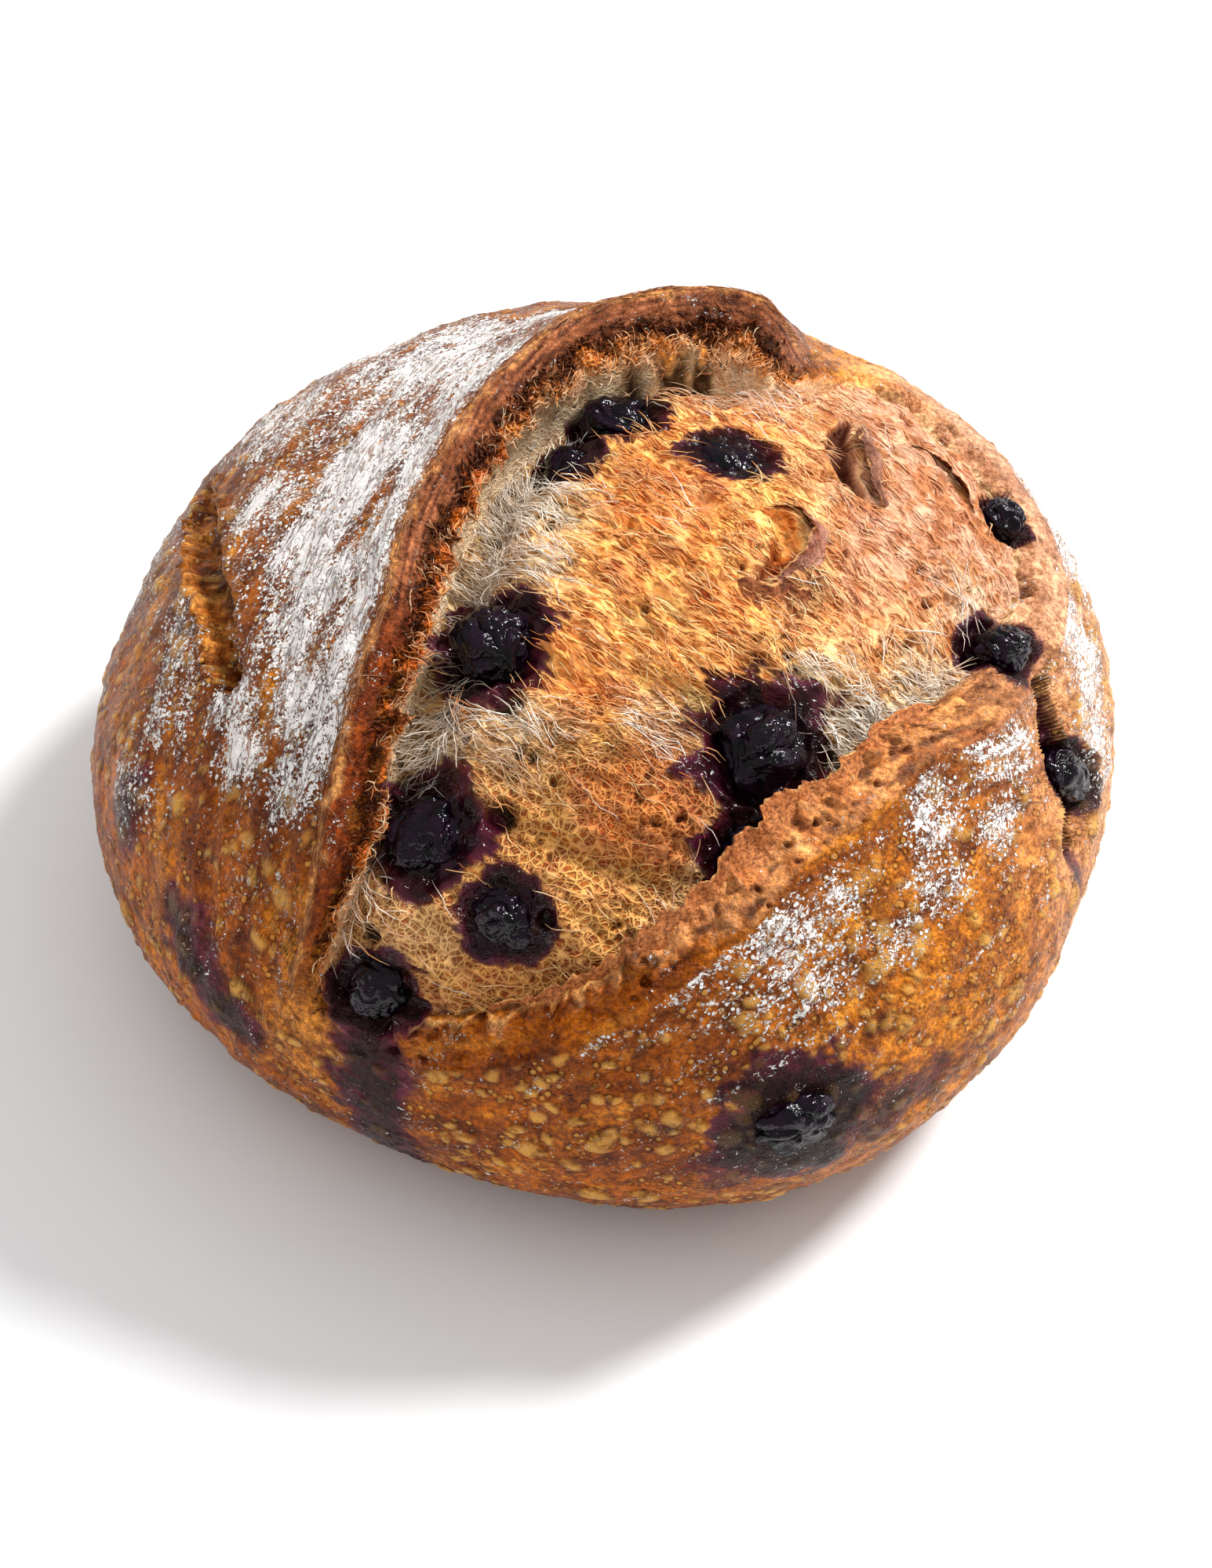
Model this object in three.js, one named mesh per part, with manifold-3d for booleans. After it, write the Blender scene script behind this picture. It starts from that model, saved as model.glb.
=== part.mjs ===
// A round sourdough loaf with berries baked into it, as a three.js scene graph.
// Millimetres, +Z up, the flat base on z = 0 and the front of the loaf towards -Y.
// The loaf is one web of spokes and rings: the spokes leave a hub on the open crumb, cross the
// edge of the score, which is a raised ear on the left and a low lip in front, and run down the crust.
import * as THREE from "three";
import { mergeVertices } from "three/addons/utils/BufferGeometryUtils.js";
import Module from "manifold-3d";

// Driving dimensions
const loafRadius = 100; // at the widest ring
const domeHeight = 106; // without the ear
const widestHeight = 38; // of the widest ring above the base
const upperFullness = 0.9; // below 1 the side is fuller than a ball's
const lowerFullness = 0.54;
const threeCorner = -0.013; // how far the plan departs from a circle, as shares of the radius
const fourCorner = 0.0175;
const baseFall = -0.8; // where the side meets the flat base, as the cosine of the angle from the top
const hubLean = THREE.MathUtils.degToRad(17); // of the web's hub, from the top towards the front
const spokeCount = 108;
const crumbRings = 8;
const sideRings = 8;
const berryGap = 0.4;
const raggedness = 1.5; // of the torn edge
const seed = 7;
const centring = [1.5, 0.3, 0]; // brings the middle of the uneven outline over the origin

// The edge of the score round the hub: turn in degrees, then the reach along the surface from the hub
const scoreEdge = [
  [14, 92],
  [28, 102],
  [43, 105],
  [56, 101],
  [66, 87],
  [80, 82],
  [94, 75],
  [109, 62],
  [131, 47.5],
  [158, 40.5],
  [174, 40],
  [198, 46],
  [214, 57],
  [222, 69],
  [229, 83],
  [236, 81],
  [251, 71],
  [273, 55],
  [290, 47],
  [310, 42],
  [326, 46],
  [342, 52],
  [352, 63],
];
// How high the edge stands, how deep the crevice inside it is, how far it is undercut, and whether
// it is an ear, 1, or a lip, 0
const edgeHeight = [
  [10, 3],
  [30, 2],
  [50, 2],
  [62, 2],
  [66, 10],
  [70, 15],
  [80, 15],
  [94, 13.5],
  [120, 12],
  [160, 11],
  [198, 9],
  [212, 7],
  [222, 4],
  [230, 1.5],
  [250, 1.5],
  [272, 2.5],
  [300, 4],
  [350, 4],
];
const creviceDepth = [
  [0, 4],
  [20, 1.5],
  [56, 1],
  [68, 3],
  [90, 6],
  [120, 8],
  [190, 8],
  [212, 6],
  [226, 3],
  [240, 1.5],
  [262, 1.5],
  [290, 4],
  [345, 4.5],
];
const undercut = [
  [40, 0],
  [90, 0.1],
  [112, 0.9],
  [200, 1],
  [222, 0.4],
  [232, 0.1],
  [250, 0.2],
  [300, 0.6],
  [345, 0.6],
];
const earShare = [
  [54, 0],
  [66, 1],
  [140, 1],
  [222, 1],
  [233, 0],
  [300, 0],
];

// The section across the edge, from the crumb out to the crust, for the ear and for the lip:
// mm across, with the edge line at 0, share of the edge's height and share of the crevice's depth.
// The fourth number is how far an undercut moves the point out under the edge, in mm.
const earSection = [
  [-21, 0, 0, 0],
  [-16, 0, -0.4, 0],
  [-12.5, 0, -1, 2],
  [-11, 0.05, -0.9, 6.5],
  [-10.5, 0.2, -0.4, 6.5],
  [-9.5, 0.33, 0, 3],
  [-8, 0.45, 0, 0],
  [-3.5, 0.78, 0, 0],
  [0, 1, 0, 0],
  [3, 0.92, 0, 0],
  [10, 0.58, 0, 0],
  [22, 0.25, 0, 0],
  [38, 0, 0, 0],
];
const lipSection = [
  [-18, 0, 0, 0],
  [-12, 0, -0.35, 0],
  [-7, 0, -0.85, 1],
  [-4.5, 0, -1, 3],
  [-3.5, 0.1, -0.5, 3],
  [-2, 0.3, -0.1, 1.5],
  [-0.5, 0.5, 0, 0],
  [4, 0.85, 0, 0],
  [8, 1, 0, 0],
  [10, 0.92, 0, 0],
  [16, 0.6, 0, 0],
  [26, 0.25, 0, 0],
  [38, 0, 0, 0],
];
const tornRing = 6; // the ring of the section that is the ragged edge

// Swellings and hollows of the surface: place, spread and rise in mm
const swellings = [
  { at: [25, 4, 104], spread: 26, rise: 3 }, // the big lobe of open crumb
  { at: [7, -60, 95], spread: 13, rise: 4.5 }, // the second lobe, in front of it
  { at: [-11, -72, 84], spread: 9, rise: 2 },
  { at: [48, 18, 98], spread: 4, rise: 3 }, // the lifted flap
  { at: [28, -8, 103], spread: 5, rise: -2 },
  { at: [-74, 56, 62], spread: 28, rise: 2.6 }, // fuller corners of the crust
  { at: [-98, -10, 50], spread: 30, rise: 1 },
  { at: [98, -5, 50], spread: 32, rise: 1.4 },
  { at: [80, -60, 45], spread: 24, rise: 1.4 },
  { at: [34, -97, 42], spread: 11, rise: 2.5 }, // a berry under the skin, low in front
  { at: [-89, -33, 63], spread: 7, rise: 2.5 },
  { at: [-76, -64, 49], spread: 9, rise: 2 },
];
// Creases and cracks: the points along each, its width and depth
const creases = [
  { along: [[-22, -30, 102], [-2, -38, 102], [16, -40, 100], [28, -47, 97]], width: 8, depth: 3 },
  { along: [[-20, -60, 93], [-8, -66, 90], [16, -72, 86], [25, -65, 90]], width: 7, depth: 2 },
  { along: [[-80, 41, 67], [-83, 19, 74], [-83, -1, 79], [-78, -21, 81]], width: 6, depth: 3 },
  { along: [[79, -16, 78], [83, -26, 70], [88, -29, 60], [88, -36, 54]], width: 10, depth: 4 },
];

// The berries: turn and reach on the web, half sizes along the spoke's side, along the spoke and
// outward, and how far the middle lies above the surface
const berries = {
  berry_crevice_back: { turn: 89, reach: 61, half: [7.5, 6.5, 6], lift: -3 },
  berry_crevice_middle: { turn: 99, reach: 50, half: [5.5, 6.5, 5.5], lift: -5.5 },
  berry_top: { turn: 65, reach: 53, half: [7.5, 5, 4.5], lift: -1 },
  berry_right_rim: { turn: 27, reach: 97, half: [4.7, 4.7, 4.5], lift: 0 },
  berry_left: { turn: 166, reach: 23, half: [8, 7.5, 6.5], lift: -2 },
  berry_centre: { turn: 328, reach: 31, half: [8.5, 8, 7], lift: -1.5 },
  berry_right_shoulder: { turn: 5, reach: 79, half: [5, 6, 5], lift: 1 },
  berry_right_side: { turn: 350, reach: 102, half: [5, 8, 5], lift: -2 },
  berry_front_left: { turn: 226, reach: 46, half: [7.5, 8.5, 5.5], lift: -4 },
  berry_front: { turn: 250, reach: 50, half: [6.5, 6, 5.5], lift: -2 },
  berry_score_end: { turn: 236, reach: 75, half: [6, 6.5, 5], lift: -2 },
  berry_low_front: { turn: 291, reach: 94, half: [8.5, 7, 6], lift: -1.5 },
  berry_under_lip: { turn: 304, reach: 42, half: [5, 5.5, 5], lift: -5 },
};
const smallBerry = 5.6; // a berry whose first half size is under this has fewer faces
const berryWrinkle = 0.05; // of the berry's size

const wasm = await Module();
wasm.setup();

// Value of a list of [degrees, value] knots at a turn, smooth and closed round the circle
function keyed(knots, turn) {
  const at = THREE.MathUtils.euclideanModulo(turn, 360);
  const before = knots.findLastIndex(([degrees]) => degrees <= at);
  const knot = (index) => {
    const laps = Math.floor(index / knots.length);
    const [degrees, value] = knots[index - laps * knots.length];
    return [degrees + 360 * laps, value];
  };
  const [a, b, c, d] = [-1, 0, 1, 2].map((step) => knot(before + step));
  const span = c[0] - b[0];
  const t = (at - b[0]) / span;
  const slopeIn = ((c[1] - a[1]) / (c[0] - a[0])) * span;
  const slopeOut = ((d[1] - b[1]) / (d[0] - b[0])) * span;
  const rise = c[1] - b[1];
  return b[1] + t * (slopeIn + t * (3 * rise - 2 * slopeIn - slopeOut + t * (slopeIn + slopeOut - 2 * rise)));
}

// Mulberry32, so that each run gives the same loaf
function seededRandom(start) {
  let state = start;
  return () => {
    state = (state + 0x6d2b79f5) | 0;
    let mixed = Math.imul(state ^ (state >>> 15), 1 | state);
    mixed = (mixed + Math.imul(mixed ^ (mixed >>> 7), 61 | mixed)) ^ mixed;
    return ((mixed ^ (mixed >>> 14)) >>> 0) / 4294967296;
  };
}

// A slow, even unevenness of a place, between about -1 and 1
function waviness(place, scale) {
  const { x, y, z } = place.clone().divideScalar(scale);
  return (Math.sin(x + 1.3 * y) + Math.sin(1.7 * y - z + 2) + Math.sin(1.2 * z + 1.9 * x + 4)) / 3;
}

// The plain body's surface in a direction from its middle
function bodyPoint(direction) {
  const out = Math.max(Math.hypot(direction.x, direction.y), 1e-9);
  const bearing = Math.atan2(direction.y, direction.x);
  const corners = 1 + threeCorner * Math.cos(3 * bearing) + fourCorner * Math.sin(4 * bearing);
  const fullness = direction.z > 0 ? upperFullness : lowerFullness;
  const widen = loafRadius * corners * out ** (fullness - 1);
  const rise = direction.z > 0 ? domeHeight - widestHeight : widestHeight / -baseFall;
  const z = Math.max(0, widestHeight + rise * direction.z);
  return new THREE.Vector3(widen * direction.x, widen * direction.y, z);
}

// A direction on the web, from its turn round the hub and its fall from it, in radians
function webDirection(turn, fall) {
  const direction = new THREE.Vector3(
    Math.sin(fall) * Math.cos(turn),
    Math.sin(fall) * Math.sin(turn),
    Math.cos(fall),
  );
  return direction.applyAxisAngle(new THREE.Vector3(1, 0, 0), hubLean);
}

function webPoint(turn, fall) {
  return bodyPoint(webDirection(turn, fall));
}

function webNormal(turn, fall) {
  const step = 1e-3;
  const safeFall = Math.max(fall, 2 * step);
  const along = webPoint(turn, safeFall + step).sub(webPoint(turn, safeFall - step));
  const round = webPoint(turn + step, safeFall).sub(webPoint(turn - step, safeFall));
  return along.cross(round).normalize();
}

// A spoke: its fall for a reach along the surface, out to the edge of the base
function makeSpoke(degrees) {
  const turn = THREE.MathUtils.degToRad(degrees);
  const side = Math.sin(hubLean) * Math.sin(turn);
  const steep = Math.hypot(Math.cos(hubLean), side);
  const lastFall = Math.atan2(side, Math.cos(hubLean)) + Math.acos(baseFall / steep);
  const steps = 160;
  const reaches = [0];
  let before = webPoint(turn, 0);
  for (let step = 1; step <= steps; step++) {
    const next = webPoint(turn, (lastFall * step) / steps);
    reaches.push(reaches[step - 1] + next.distanceTo(before));
    before = next;
  }
  const length = reaches[steps];
  const fallAt = (reach) => {
    const step = Math.min(Math.max(reaches.findIndex((value) => value > reach), 1), steps);
    const part = (reach - reaches[step - 1]) / (reaches[step] - reaches[step - 1]);
    return reach >= length ? lastFall : (lastFall * (step - 1 + part)) / steps;
  };
  const place = (reach) => webPoint(turn, fallAt(reach));
  const outward = (reach) => webNormal(turn, fallAt(reach));
  return { degrees, turn, length, place, outward };
}

function distanceToLine(point, corners) {
  const nearest = new THREE.Vector3();
  const distances = corners.slice(1).map((corner, index) => {
    const piece = new THREE.Line3(new THREE.Vector3(...corners[index]), new THREE.Vector3(...corner));
    return piece.closestPointToPoint(point, true, nearest).distanceTo(point);
  });
  return Math.min(...distances);
}

// Relief that belongs to a place on the loaf, fading out near the flat base
function reliefAt(point) {
  let rise = 0.7 * waviness(point, 9);
  for (const swelling of swellings) {
    const away = point.distanceTo(new THREE.Vector3(...swelling.at)) / swelling.spread;
    rise += swelling.rise * Math.exp(-away * away);
  }
  for (const crease of creases) {
    const away = distanceToLine(point, crease.along) / (crease.width / 2);
    rise -= crease.depth * Math.exp(-away * away);
  }
  return rise * THREE.MathUtils.smoothstep(point.z, 4, 20);
}

// The rings of one spoke: points from next to the hub out to the edge of the base
function spokeRings(degrees, tear) {
  const spoke = makeSpoke(degrees);
  const edge = keyed(scoreEdge, degrees);
  const slope = THREE.MathUtils.radToDeg(keyed(scoreEdge, degrees + 1) - keyed(scoreEdge, degrees - 1)) / 2;
  const slant = Math.max(edge / Math.hypot(edge, slope), 0.6); // the edge runs across the spoke at a slant
  const height = keyed(edgeHeight, degrees);
  const depth = keyed(creviceDepth, degrees);
  const under = keyed(undercut, degrees);
  const ear = THREE.MathUtils.clamp(keyed(earShare, degrees), 0, 1);
  const room = { inner: 0.8 * edge, outer: 0.6 * (spoke.length - edge) };
  const section = earSection.map((earRow, ring) => {
    const row = earRow.map((value, column) => ear * value + (1 - ear) * lipSection[ring][column]);
    const ragged = Math.abs(ring - tornRing) < 2 ? tear * (ring === tornRing ? 1 : 0.4) : 0;
    const across = (row[0] + under * row[3] + ragged * (0.5 + ear)) / slant;
    const space = across < 0 ? room.inner : room.outer;
    const reach = edge + Math.sign(across) * space * (1 - Math.exp(-Math.abs(across) / space));
    return { reach, rise: row[1] * height + row[2] * depth + 0.4 * ragged };
  });
  const first = section[0].reach;
  const last = section.at(-1).reach;
  const crumb = Array.from({ length: crumbRings - 1 }, (_, ring) => {
    return { reach: (first * (ring + 1)) / crumbRings, rise: 0 };
  });
  const side = Array.from({ length: sideRings }, (_, ring) => {
    return { reach: last + ((spoke.length - last) * (ring + 1)) / sideRings, rise: 0 };
  });
  return [...crumb, ...section, ...side].map(({ reach, rise }) => {
    const point = spoke.place(reach);
    return point.addScaledVector(spoke.outward(reach), rise + reliefAt(point));
  });
}

function solidOf(geometry) {
  const bare = geometry.index ? geometry.toNonIndexed() : geometry.clone();
  bare.deleteAttribute("normal");
  bare.deleteAttribute("uv");
  const merged = mergeVertices(bare, 1e-3);
  return new wasm.Manifold(
    new wasm.Mesh({
      numProp: 3,
      vertProperties: merged.attributes.position.array,
      triVerts: new Uint32Array(merged.index.array),
    }),
  );
}

function geometryOf(solid) {
  const mesh = solid.getMesh();
  const geometry = new THREE.BufferGeometry();
  geometry.setAttribute("position", new THREE.BufferAttribute(new Float32Array(mesh.vertProperties), 3));
  geometry.setIndex(new THREE.BufferAttribute(new Uint32Array(mesh.triVerts), 1));
  geometry.computeVertexNormals();
  return geometry;
}

// The loaf before the berries' pockets are cut
function loafGeometry() {
  const random = seededRandom(seed);
  const web = Array.from({ length: spokeCount }, (_, index) => {
    return spokeRings((360 * index) / spokeCount, raggedness * (2 * random() - 1));
  });
  const hub = webPoint(0, 0);
  hub.addScaledVector(webNormal(0, 0), reliefAt(hub));
  const under = webPoint(0, Math.PI);
  const ringCount = web[0].length;
  const positions = [hub, ...web.flat(), under].flatMap((point) => point.toArray());
  const index = (spoke, ring) => 1 + (spoke % spokeCount) * ringCount + ring;
  const underIndex = 1 + spokeCount * ringCount;
  const faces = [];
  for (let spoke = 0; spoke < spokeCount; spoke++) {
    faces.push(0, index(spoke, 0), index(spoke + 1, 0));
    faces.push(underIndex, index(spoke + 1, ringCount - 1), index(spoke, ringCount - 1));
    for (let ring = 0; ring < ringCount - 1; ring++) {
      const corners = [index(spoke, ring), index(spoke, ring + 1)];
      const next = [index(spoke + 1, ring), index(spoke + 1, ring + 1)];
      faces.push(corners[0], corners[1], next[1], corners[0], next[1], next[0]);
    }
  }
  const geometry = new THREE.BufferGeometry();
  geometry.setAttribute("position", new THREE.Float32BufferAttribute(positions, 3));
  geometry.setIndex(faces);
  return geometry;
}

// A shrunken berry round its own middle; the same berry, a gap larger, cuts its pocket
function berryGeometry(half, grow, order) {
  const geometry = new THREE.IcosahedronGeometry(1, half[0] < smallBerry ? 2 : 3);
  const places = geometry.attributes.position;
  const point = new THREE.Vector3();
  for (let index = 0; index < places.count; index++) {
    point.fromBufferAttribute(places, index);
    const wrinkle = berryWrinkle * waviness(point.clone().addScalar(order), 0.3);
    point.multiplyScalar(1 + wrinkle).multiply(new THREE.Vector3(...half).addScalar(grow));
    places.setXYZ(index, point.x, point.y, point.z);
  }
  return geometry;
}

// Where a berry sits: its third axis points out of the loaf and its second along the spoke
function berrySeat({ turn, reach, lift }) {
  const spoke = makeSpoke(turn);
  const outward = spoke.outward(reach);
  const ahead = spoke.place(reach + 1).sub(spoke.place(reach - 1));
  const aside = ahead.cross(outward).normalize();
  const along = outward.clone().cross(aside);
  const middle = spoke.place(reach).addScaledVector(outward, lift);
  return new THREE.Matrix4().makeBasis(aside, along, outward).setPosition(middle);
}

function breadMaterial() {
  return new THREE.MeshStandardMaterial({ color: 0xc0813f, roughness: 0.82, metalness: 0 });
}

function berryMaterial() {
  return new THREE.MeshStandardMaterial({ color: 0x1b1428, roughness: 0.35, metalness: 0 });
}

const sourdoughLoaf = new THREE.Group();
sourdoughLoaf.position.set(...centring);

let bread = solidOf(loafGeometry());
Object.entries(berries).forEach(([name, berry], order) => {
  const seat = berrySeat(berry);
  bread = bread.subtract(solidOf(berryGeometry(berry.half, berryGap, order).applyMatrix4(seat)));
  const mesh = new THREE.Mesh(berryGeometry(berry.half, 0, order), berryMaterial());
  mesh.name = name;
  mesh.applyMatrix4(seat);
  sourdoughLoaf.add(mesh);
});
const [largest] = bread.decompose().sort((a, b) => b.volume() - a.volume());
const loaf = new THREE.Mesh(geometryOf(largest), breadMaterial());
loaf.name = "loaf";
sourdoughLoaf.add(loaf);

export default sourdoughLoaf;
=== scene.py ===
import math

import bmesh
import bpy
import numpy as np
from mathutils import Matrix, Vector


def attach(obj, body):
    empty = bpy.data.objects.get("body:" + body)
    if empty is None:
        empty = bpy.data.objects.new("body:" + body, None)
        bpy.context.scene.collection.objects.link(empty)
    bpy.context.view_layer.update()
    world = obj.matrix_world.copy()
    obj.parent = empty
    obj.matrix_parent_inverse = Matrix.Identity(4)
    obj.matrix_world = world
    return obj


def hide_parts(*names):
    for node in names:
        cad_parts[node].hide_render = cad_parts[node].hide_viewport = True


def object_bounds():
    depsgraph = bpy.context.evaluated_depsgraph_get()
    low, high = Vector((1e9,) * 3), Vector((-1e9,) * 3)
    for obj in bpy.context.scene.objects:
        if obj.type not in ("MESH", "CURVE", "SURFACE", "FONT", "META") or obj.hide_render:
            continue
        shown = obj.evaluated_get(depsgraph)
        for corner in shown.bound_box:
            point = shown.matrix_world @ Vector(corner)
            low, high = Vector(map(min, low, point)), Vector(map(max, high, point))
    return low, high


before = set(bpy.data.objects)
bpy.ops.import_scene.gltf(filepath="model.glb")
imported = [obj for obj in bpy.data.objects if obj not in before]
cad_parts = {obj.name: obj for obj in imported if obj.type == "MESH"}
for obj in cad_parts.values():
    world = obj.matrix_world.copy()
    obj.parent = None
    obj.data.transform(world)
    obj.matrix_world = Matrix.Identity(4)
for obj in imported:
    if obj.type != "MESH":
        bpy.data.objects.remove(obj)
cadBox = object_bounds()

# A round sourdough loaf with berries: crust with a raised ear, torn open crumb, wrinkled berries.
# Lengths are millimetres until makePiece turns them into metres.

millimetre = 0.001  # in metres
metre = 1000  # in millimetres

print("form of the loaf")
form = {
    "radius": 100,  # at the widest ring
    "dome": 106,  # height without the ear
    "widest": 38,  # height of the widest ring
    "upperFullness": 0.9,  # 1 is an ellipsoid, less is boxier
    "lowerFullness": 0.54,
    "threeCorner": -0.013,  # how far the ring is from a circle
    "fourCorner": 0.0175,
    "baseFall": -0.8,  # height of the base on the unit sphere
    "hubLean": math.radians(17),  # the web's hub leans towards the front
    "centring": np.array([1.5, 0.3, 0.0]),  # brings the middle of the box over the origin
}
webSteps = 160  # along each spoke of the web that covers the loaf

# the edge of the score: turn in degrees round the hub, reach from the hub along the surface
scoreEdge = [
    (14, 92), (28, 102), (43, 105), (56, 101), (66, 87), (80, 82), (94, 75), (109, 62), (131, 47.5),
    (158, 40.5), (174, 40), (198, 46), (214, 57), (222, 69), (229, 83), (236, 81), (251, 71), (273, 55),
    (290, 47), (310, 42), (326, 46), (342, 52), (352, 63),
]
edgeHeight = [
    (10, 3), (30, 2), (50, 2), (62, 2), (66, 10), (70, 15), (80, 15), (94, 13.5), (120, 12), (160, 11),
    (198, 9), (212, 7), (222, 4), (230, 1.5), (250, 1.5), (272, 2.5), (300, 4), (350, 4),
]
creviceDepth = [
    (0, 4), (20, 1.5), (56, 1), (68, 3), (90, 6), (120, 8), (190, 8), (212, 6), (226, 3), (240, 1.5),
    (262, 1.5), (290, 4), (345, 4.5),
]
undercut = [
    (40, 0), (90, 0.1), (112, 0.9), (200, 1), (222, 0.4), (232, 0.1), (250, 0.2), (300, 0.6), (345, 0.6),
]
lipShare = [(0, 0.3), (14, 0), (40, 0), (62, 0), (222, 0), (238, 0.8), (250, 1), (335, 1), (350, 0.8)]
earShare = [(54, 0), (66, 1), (140, 1), (222, 1), (233, 0), (300, 0)]

# the section across the edge: mm across, share of the height, share of the depth, undercut shift
earSection = [
    (-21, 0, 0, 0), (-16, 0, -0.4, 0), (-12.5, 0, -1, 2), (-11, 0.05, -0.9, 6.5), (-10.5, 0.2, -0.4, 6.5),
    (-9.5, 0.33, 0, 3), (-8, 0.45, 0, 0), (-3.5, 0.78, 0, 0), (0, 1, 0, 0), (3, 0.92, 0, 0),
    (10, 0.58, 0, 0), (22, 0.25, 0, 0), (38, 0, 0, 0),
]
lipSection = [
    (-18, 0, 0, 0), (-12, 0, -0.35, 0), (-7, 0, -0.85, 1), (-4.5, 0, -1, 3), (-3.5, 0.1, -0.5, 3),
    (-2, 0.3, -0.1, 1.5), (-0.5, 0.5, 0, 0), (4, 0.85, 0, 0), (8, 1, 0, 0), (10, 0.92, 0, 0),
    (16, 0.6, 0, 0), (26, 0.25, 0, 0), (38, 0, 0, 0),
]

swellings = [  # place, spread, rise
    ((25, 4, 104), 26, 3), ((7, -60, 95), 13, 4.5), ((-11, -72, 84), 9, 2), ((48, 18, 98), 4, 3),
    ((28, -8, 103), 5, -2), ((-74, 56, 62), 28, 2.6), ((-98, -10, 50), 30, 1), ((98, -5, 50), 32, 1.4),
    ((80, -60, 45), 24, 1.4), ((34, -97, 42), 11, 2.5), ((-89, -33, 63), 7, 2.5), ((-76, -64, 49), 9, 2),
]
creases = [  # points along, width, depth
    (((-22, -30, 102), (-2, -38, 102), (16, -40, 100), (28, -47, 97)), 8, 3),
    (((-20, -60, 93), (-8, -66, 90), (16, -72, 86), (25, -65, 90)), 7, 2),
    (((-80, 41, 67), (-80, 20, 76), (-77, 10, 82), (-74, -8, 86), (-71, -22, 86)), 6, 3),
    (((79, -16, 78), (83, -26, 70), (88, -29, 60), (88, -36, 54)), 10, 4),
]

# berries: turn, reach, half sizes aside, along the spoke and outward, lift, then for the socket round
# each: how deep it is, how far the juice has stained it, how wet it is
berryRows = {
    "berry_crevice_back": (89, 61, (7.5, 6.5, 6), -3, 2.5, 3.5, 0.6),
    "berry_crevice_middle": (99, 50, (5.5, 6.5, 5.5), -5.5, 2, 2.5, 0.5),
    "berry_top": (65, 53, (7.5, 5, 4.5), -1, 1.5, 2.8, 0.5),
    "berry_right_rim": (27, 97, (4.7, 4.7, 4.5), 0, 2, 1.5, 0.2),
    "berry_left": (166, 23, (8, 7.5, 6.5), -2, 3, 5.5, 1),
    "berry_centre": (328, 31, (8.5, 8, 7), -1.5, 3.5, 8, 1),
    "berry_right_shoulder": (5, 79, (5, 6, 5), 1, 2.5, 3.5, 0.5),
    "berry_right_side": (350, 102, (5, 8, 5), -2, 2.5, 3.5, 0.6),
    "berry_front_left": (226, 46, (7.5, 8.5, 5.5), -4, 3.5, 5.5, 1),
    "berry_front": (250, 50, (6.5, 6, 5.5), -2, 2, 3.5, 0.5),
    "berry_score_end": (236, 75, (6, 6.5, 5), -2, 2, 4.5, 0.5),
    "berry_low_front": (291, 94, (8.5, 7, 6), -1.5, 0, 9, 0.4),
    "berry_under_lip": (304, 42, (5, 5.5, 5), -5, 2, 6, 0.7),
}

berryColumns = ("turn", "reach", "half", "lift", "socket", "stain", "wet")
berries = {name: dict(zip(berryColumns, row)) for name, row in berryRows.items()}

gradients = np.random.default_rng(5).normal(size=(256, 3))
gradients /= np.linalg.norm(gradients, axis=1, keepdims=True)
shuffle = np.random.default_rng(6).permutation(256)


def noise(points, size, seed=0):
    # gradient noise, about -1 to 1, with features of that size
    place = points / size + 19.7 * seed + 50
    cell = np.floor(place).astype(int)
    part = place - cell
    fade = part ** 3 * (part * (part * 6 - 15) + 10)
    total = 0
    for corner in np.ndindex(2, 2, 2):
        x, y, z = (cell + corner).reshape(-1, 3).T & 255
        pick = shuffle[(shuffle[(shuffle[x] + y) & 255] + z) & 255].reshape(cell.shape[:-1])
        weight = np.prod(np.where(corner, fade, 1 - fade), -1)
        total = total + weight * ((part - corner) * gradients[pick]).sum(-1)
    return 1.7 * total


def layered(points, size, octaves=3, seed=0):
    return sum(noise(points, size / 2 ** k, seed + k) / 2 ** k for k in range(octaves))


def noiseVector(points, size, seed):
    return np.stack([noise(points, size, seed + k) for k in range(3)], -1)


def drawnNoise(along, across, length, width, seed, octaves=1):
    # noise drawn out along the score
    return layered(np.stack([along / length, across / width, 0 * along], -1), 1, octaves, seed)


def cells(points, size, seed=0):
    # distance to the nearest scattered point, in cell sizes, and that point's number from 0 to 1
    place = points / size + 7.3 * seed + 50
    cell = np.floor(place).astype(int)
    near = np.full(points.shape[:-1], 9.0)
    which = np.zeros(points.shape[:-1])
    for offset in np.ndindex(3, 3, 3):
        other = cell + np.array(offset) - 1
        x, y, z = other.reshape(-1, 3).T & 255
        pick = shuffle[(shuffle[(shuffle[x] + y) & 255] + z) & 255].reshape(cell.shape[:-1])
        away = np.linalg.norm(other + 0.5 + 0.45 * gradients[pick] - place, axis=-1)
        which = np.where(away < near, pick / 255, which)
        near = np.minimum(near, away)
    return near, which


def step(low, high, value):
    t = np.clip((value - low) / (high - low), 0, 1)
    return t * t * (3 - 2 * t)


def bell(value, middle, width, power=2):
    # 1 in the middle, fading out on both sides
    return np.exp(-((value - middle) / width) ** power)


def mix(a, b, share):
    # colours a and b, and a share for each point
    return a + (b - a) * (share[..., None] if np.ndim(share) else share)


def painted(tone, coats):
    # one coat of colour after another, each with its share for every point
    for colour, share in coats:
        tone = mix(tone, colour, share)
    return tone


def opaque(colour):
    return np.concatenate([colour, np.ones(colour.shape[:-1] + (1,))], -1)


def unit(vectors, least=1e-9):
    return vectors / np.maximum(np.linalg.norm(vectors, axis=-1, keepdims=True), least)


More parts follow.
